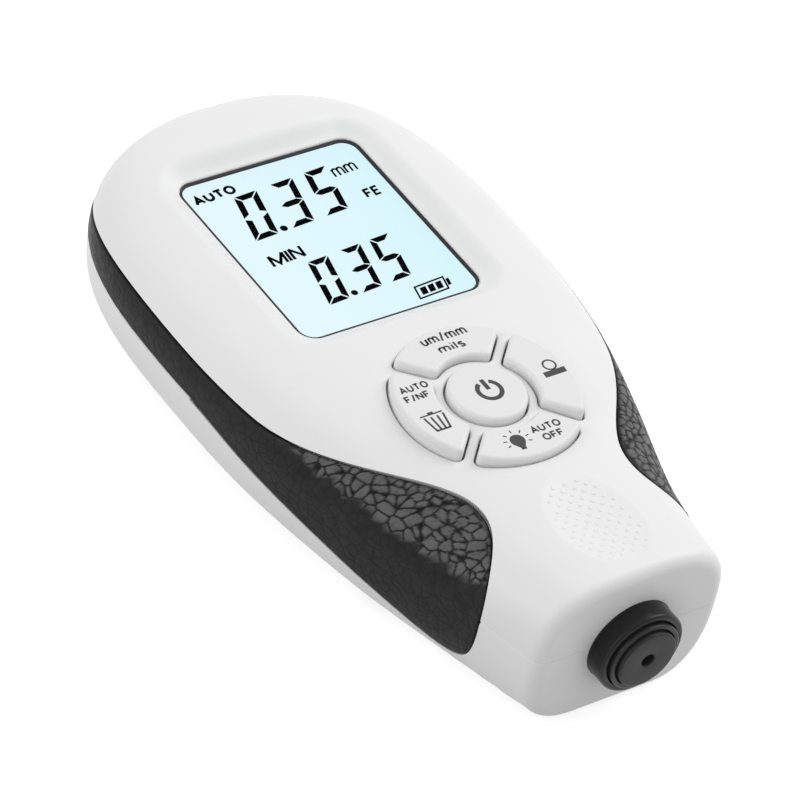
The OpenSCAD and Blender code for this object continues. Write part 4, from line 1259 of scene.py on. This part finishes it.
# Lamps as name, power, size and place, then the light all round and what the floor adds to its own
LAMPS = (("right_lamp", 3.4, 0.6, (0.66, 0.05, 0.6)), ("left_lamp", 1.7, 0.5, (-0.7, 0.25, 0.33)))
SKY, FLOOR_GLOW = (0.66, 0.66, 0.66), (0.74, 0.74, 0.74)
FLOOR_HALF, FLOOR_Z = 3.0, -0.00005
# Camera's directions, place in metres, and sensor and lens in millimetres
RIGHT, UP, AHEAD = (0.8178, -0.5494, 0.1715), (0.2679, 0.6271, 0.7314), (0.5094, 0.5521, -0.6600)
EYE, SENSOR, LENS, CLIP = (-0.3867, -0.4167, 0.5106), 36, 228.9, 0.01


class GAUGE_OT_stage(bpy.types.Operator):
    """Makes the floor, the lamps, the world and the camera"""

    bl_idname = "gauge.stage"
    bl_label = "Stage"

    def execute(self, context):
        scene = context.scene
        scene.view_settings.view_transform = "Standard"
        floor_mesh = bpy.data.meshes.new("floor")
        corners = lift(oblong(-FLOOR_HALF, FLOOR_HALF, -FLOOR_HALF, FLOOR_HALF), FLOOR_Z)
        floor_mesh.from_pydata(corners.tolist(), [], [(0, 1, 2, 3)])
        floor = link("floor", floor_mesh)
        pale = Finish("pale_floor", (0.5, 0.5, 0.5), Roughness=0.9, Specular_IOR_Level=0.0,
                      Emission_Strength=1.0)
        pale.feed({"Emission Color": pale.blend(pale.seen(), (0, 0, 0), FLOOR_GLOW)})
        floor_mesh.materials.append(pale.material)
        world = bpy.data.worlds.new("studio")
        scene.world = world
        sky = Nodes(world)
        sky.put(sky.tree.nodes["Background"].inputs["Color"], sky.blend(sky.seen(), SKY, (1, 1, 1)))
        for name, power, size, spot in LAMPS:
            data = bpy.data.lights.new(name, "AREA")
            data.energy, data.size = power, size
            lamp = link(name, data)
            lamp.location = spot
            lamp.rotation_euler = (-Vector(spot)).to_track_quat("-Z", "Y").to_euler()
        data = bpy.data.cameras.new("photo_view")
        data.sensor_width, data.lens, data.clip_start = SENSOR, LENS, CLIP
        camera = link("photo_view", data)
        rows = [(RIGHT[k], UP[k], -AHEAD[k], EYE[k]) for k in range(3)]
        camera.matrix_world = Matrix(rows + [(0, 0, 0, 1)])
        scene.camera = camera
        return {"FINISHED"}


OPERATORS = (GAUGE_OT_top_cover, GAUGE_OT_bottom_cover, GAUGE_OT_grips, GAUGE_OT_display,
             GAUGE_OT_keys, GAUGE_OT_probe, GAUGE_OT_inner_parts, GAUGE_OT_stage)


class GAUGE_PT_pieces(bpy.types.Panel):
    """Lists the gauge's sizes, colours and pieces"""

    bl_idname = "GAUGE_PT_pieces"
    bl_label = "Coating thickness gauge"
    bl_space_type = "VIEW_3D"
    bl_region_type = "UI"
    bl_category = "Gauge"

    def draw(self, context):
        for group in (context.scene.gauge_sizes, context.scene.gauge_colours):
            for name in group.__annotations__:
                self.layout.prop(group, name)
        for operator in OPERATORS:
            self.layout.operator(operator.bl_idname)


CLASSES = (GaugeSizes, GaugeColours, *OPERATORS, GAUGE_PT_pieces)


def register():
    for made in CLASSES:
        bpy.utils.register_class(made)
    bpy.types.Scene.gauge_sizes = PointerProperty(type=GaugeSizes)
    bpy.types.Scene.gauge_colours = PointerProperty(type=GaugeColours)


def unregister():
    del bpy.types.Scene.gauge_sizes
    del bpy.types.Scene.gauge_colours
    for made in reversed(CLASSES):
        bpy.utils.unregister_class(made)


def main():
    register()
    gauge = bpy.ops.gauge
    for step in (gauge.stage, gauge.top_cover, gauge.bottom_cover, gauge.grips, gauge.display,
                 gauge.keys, gauge.probe, gauge.inner_parts):
        step()


if __name__ == "__main__":
    main()
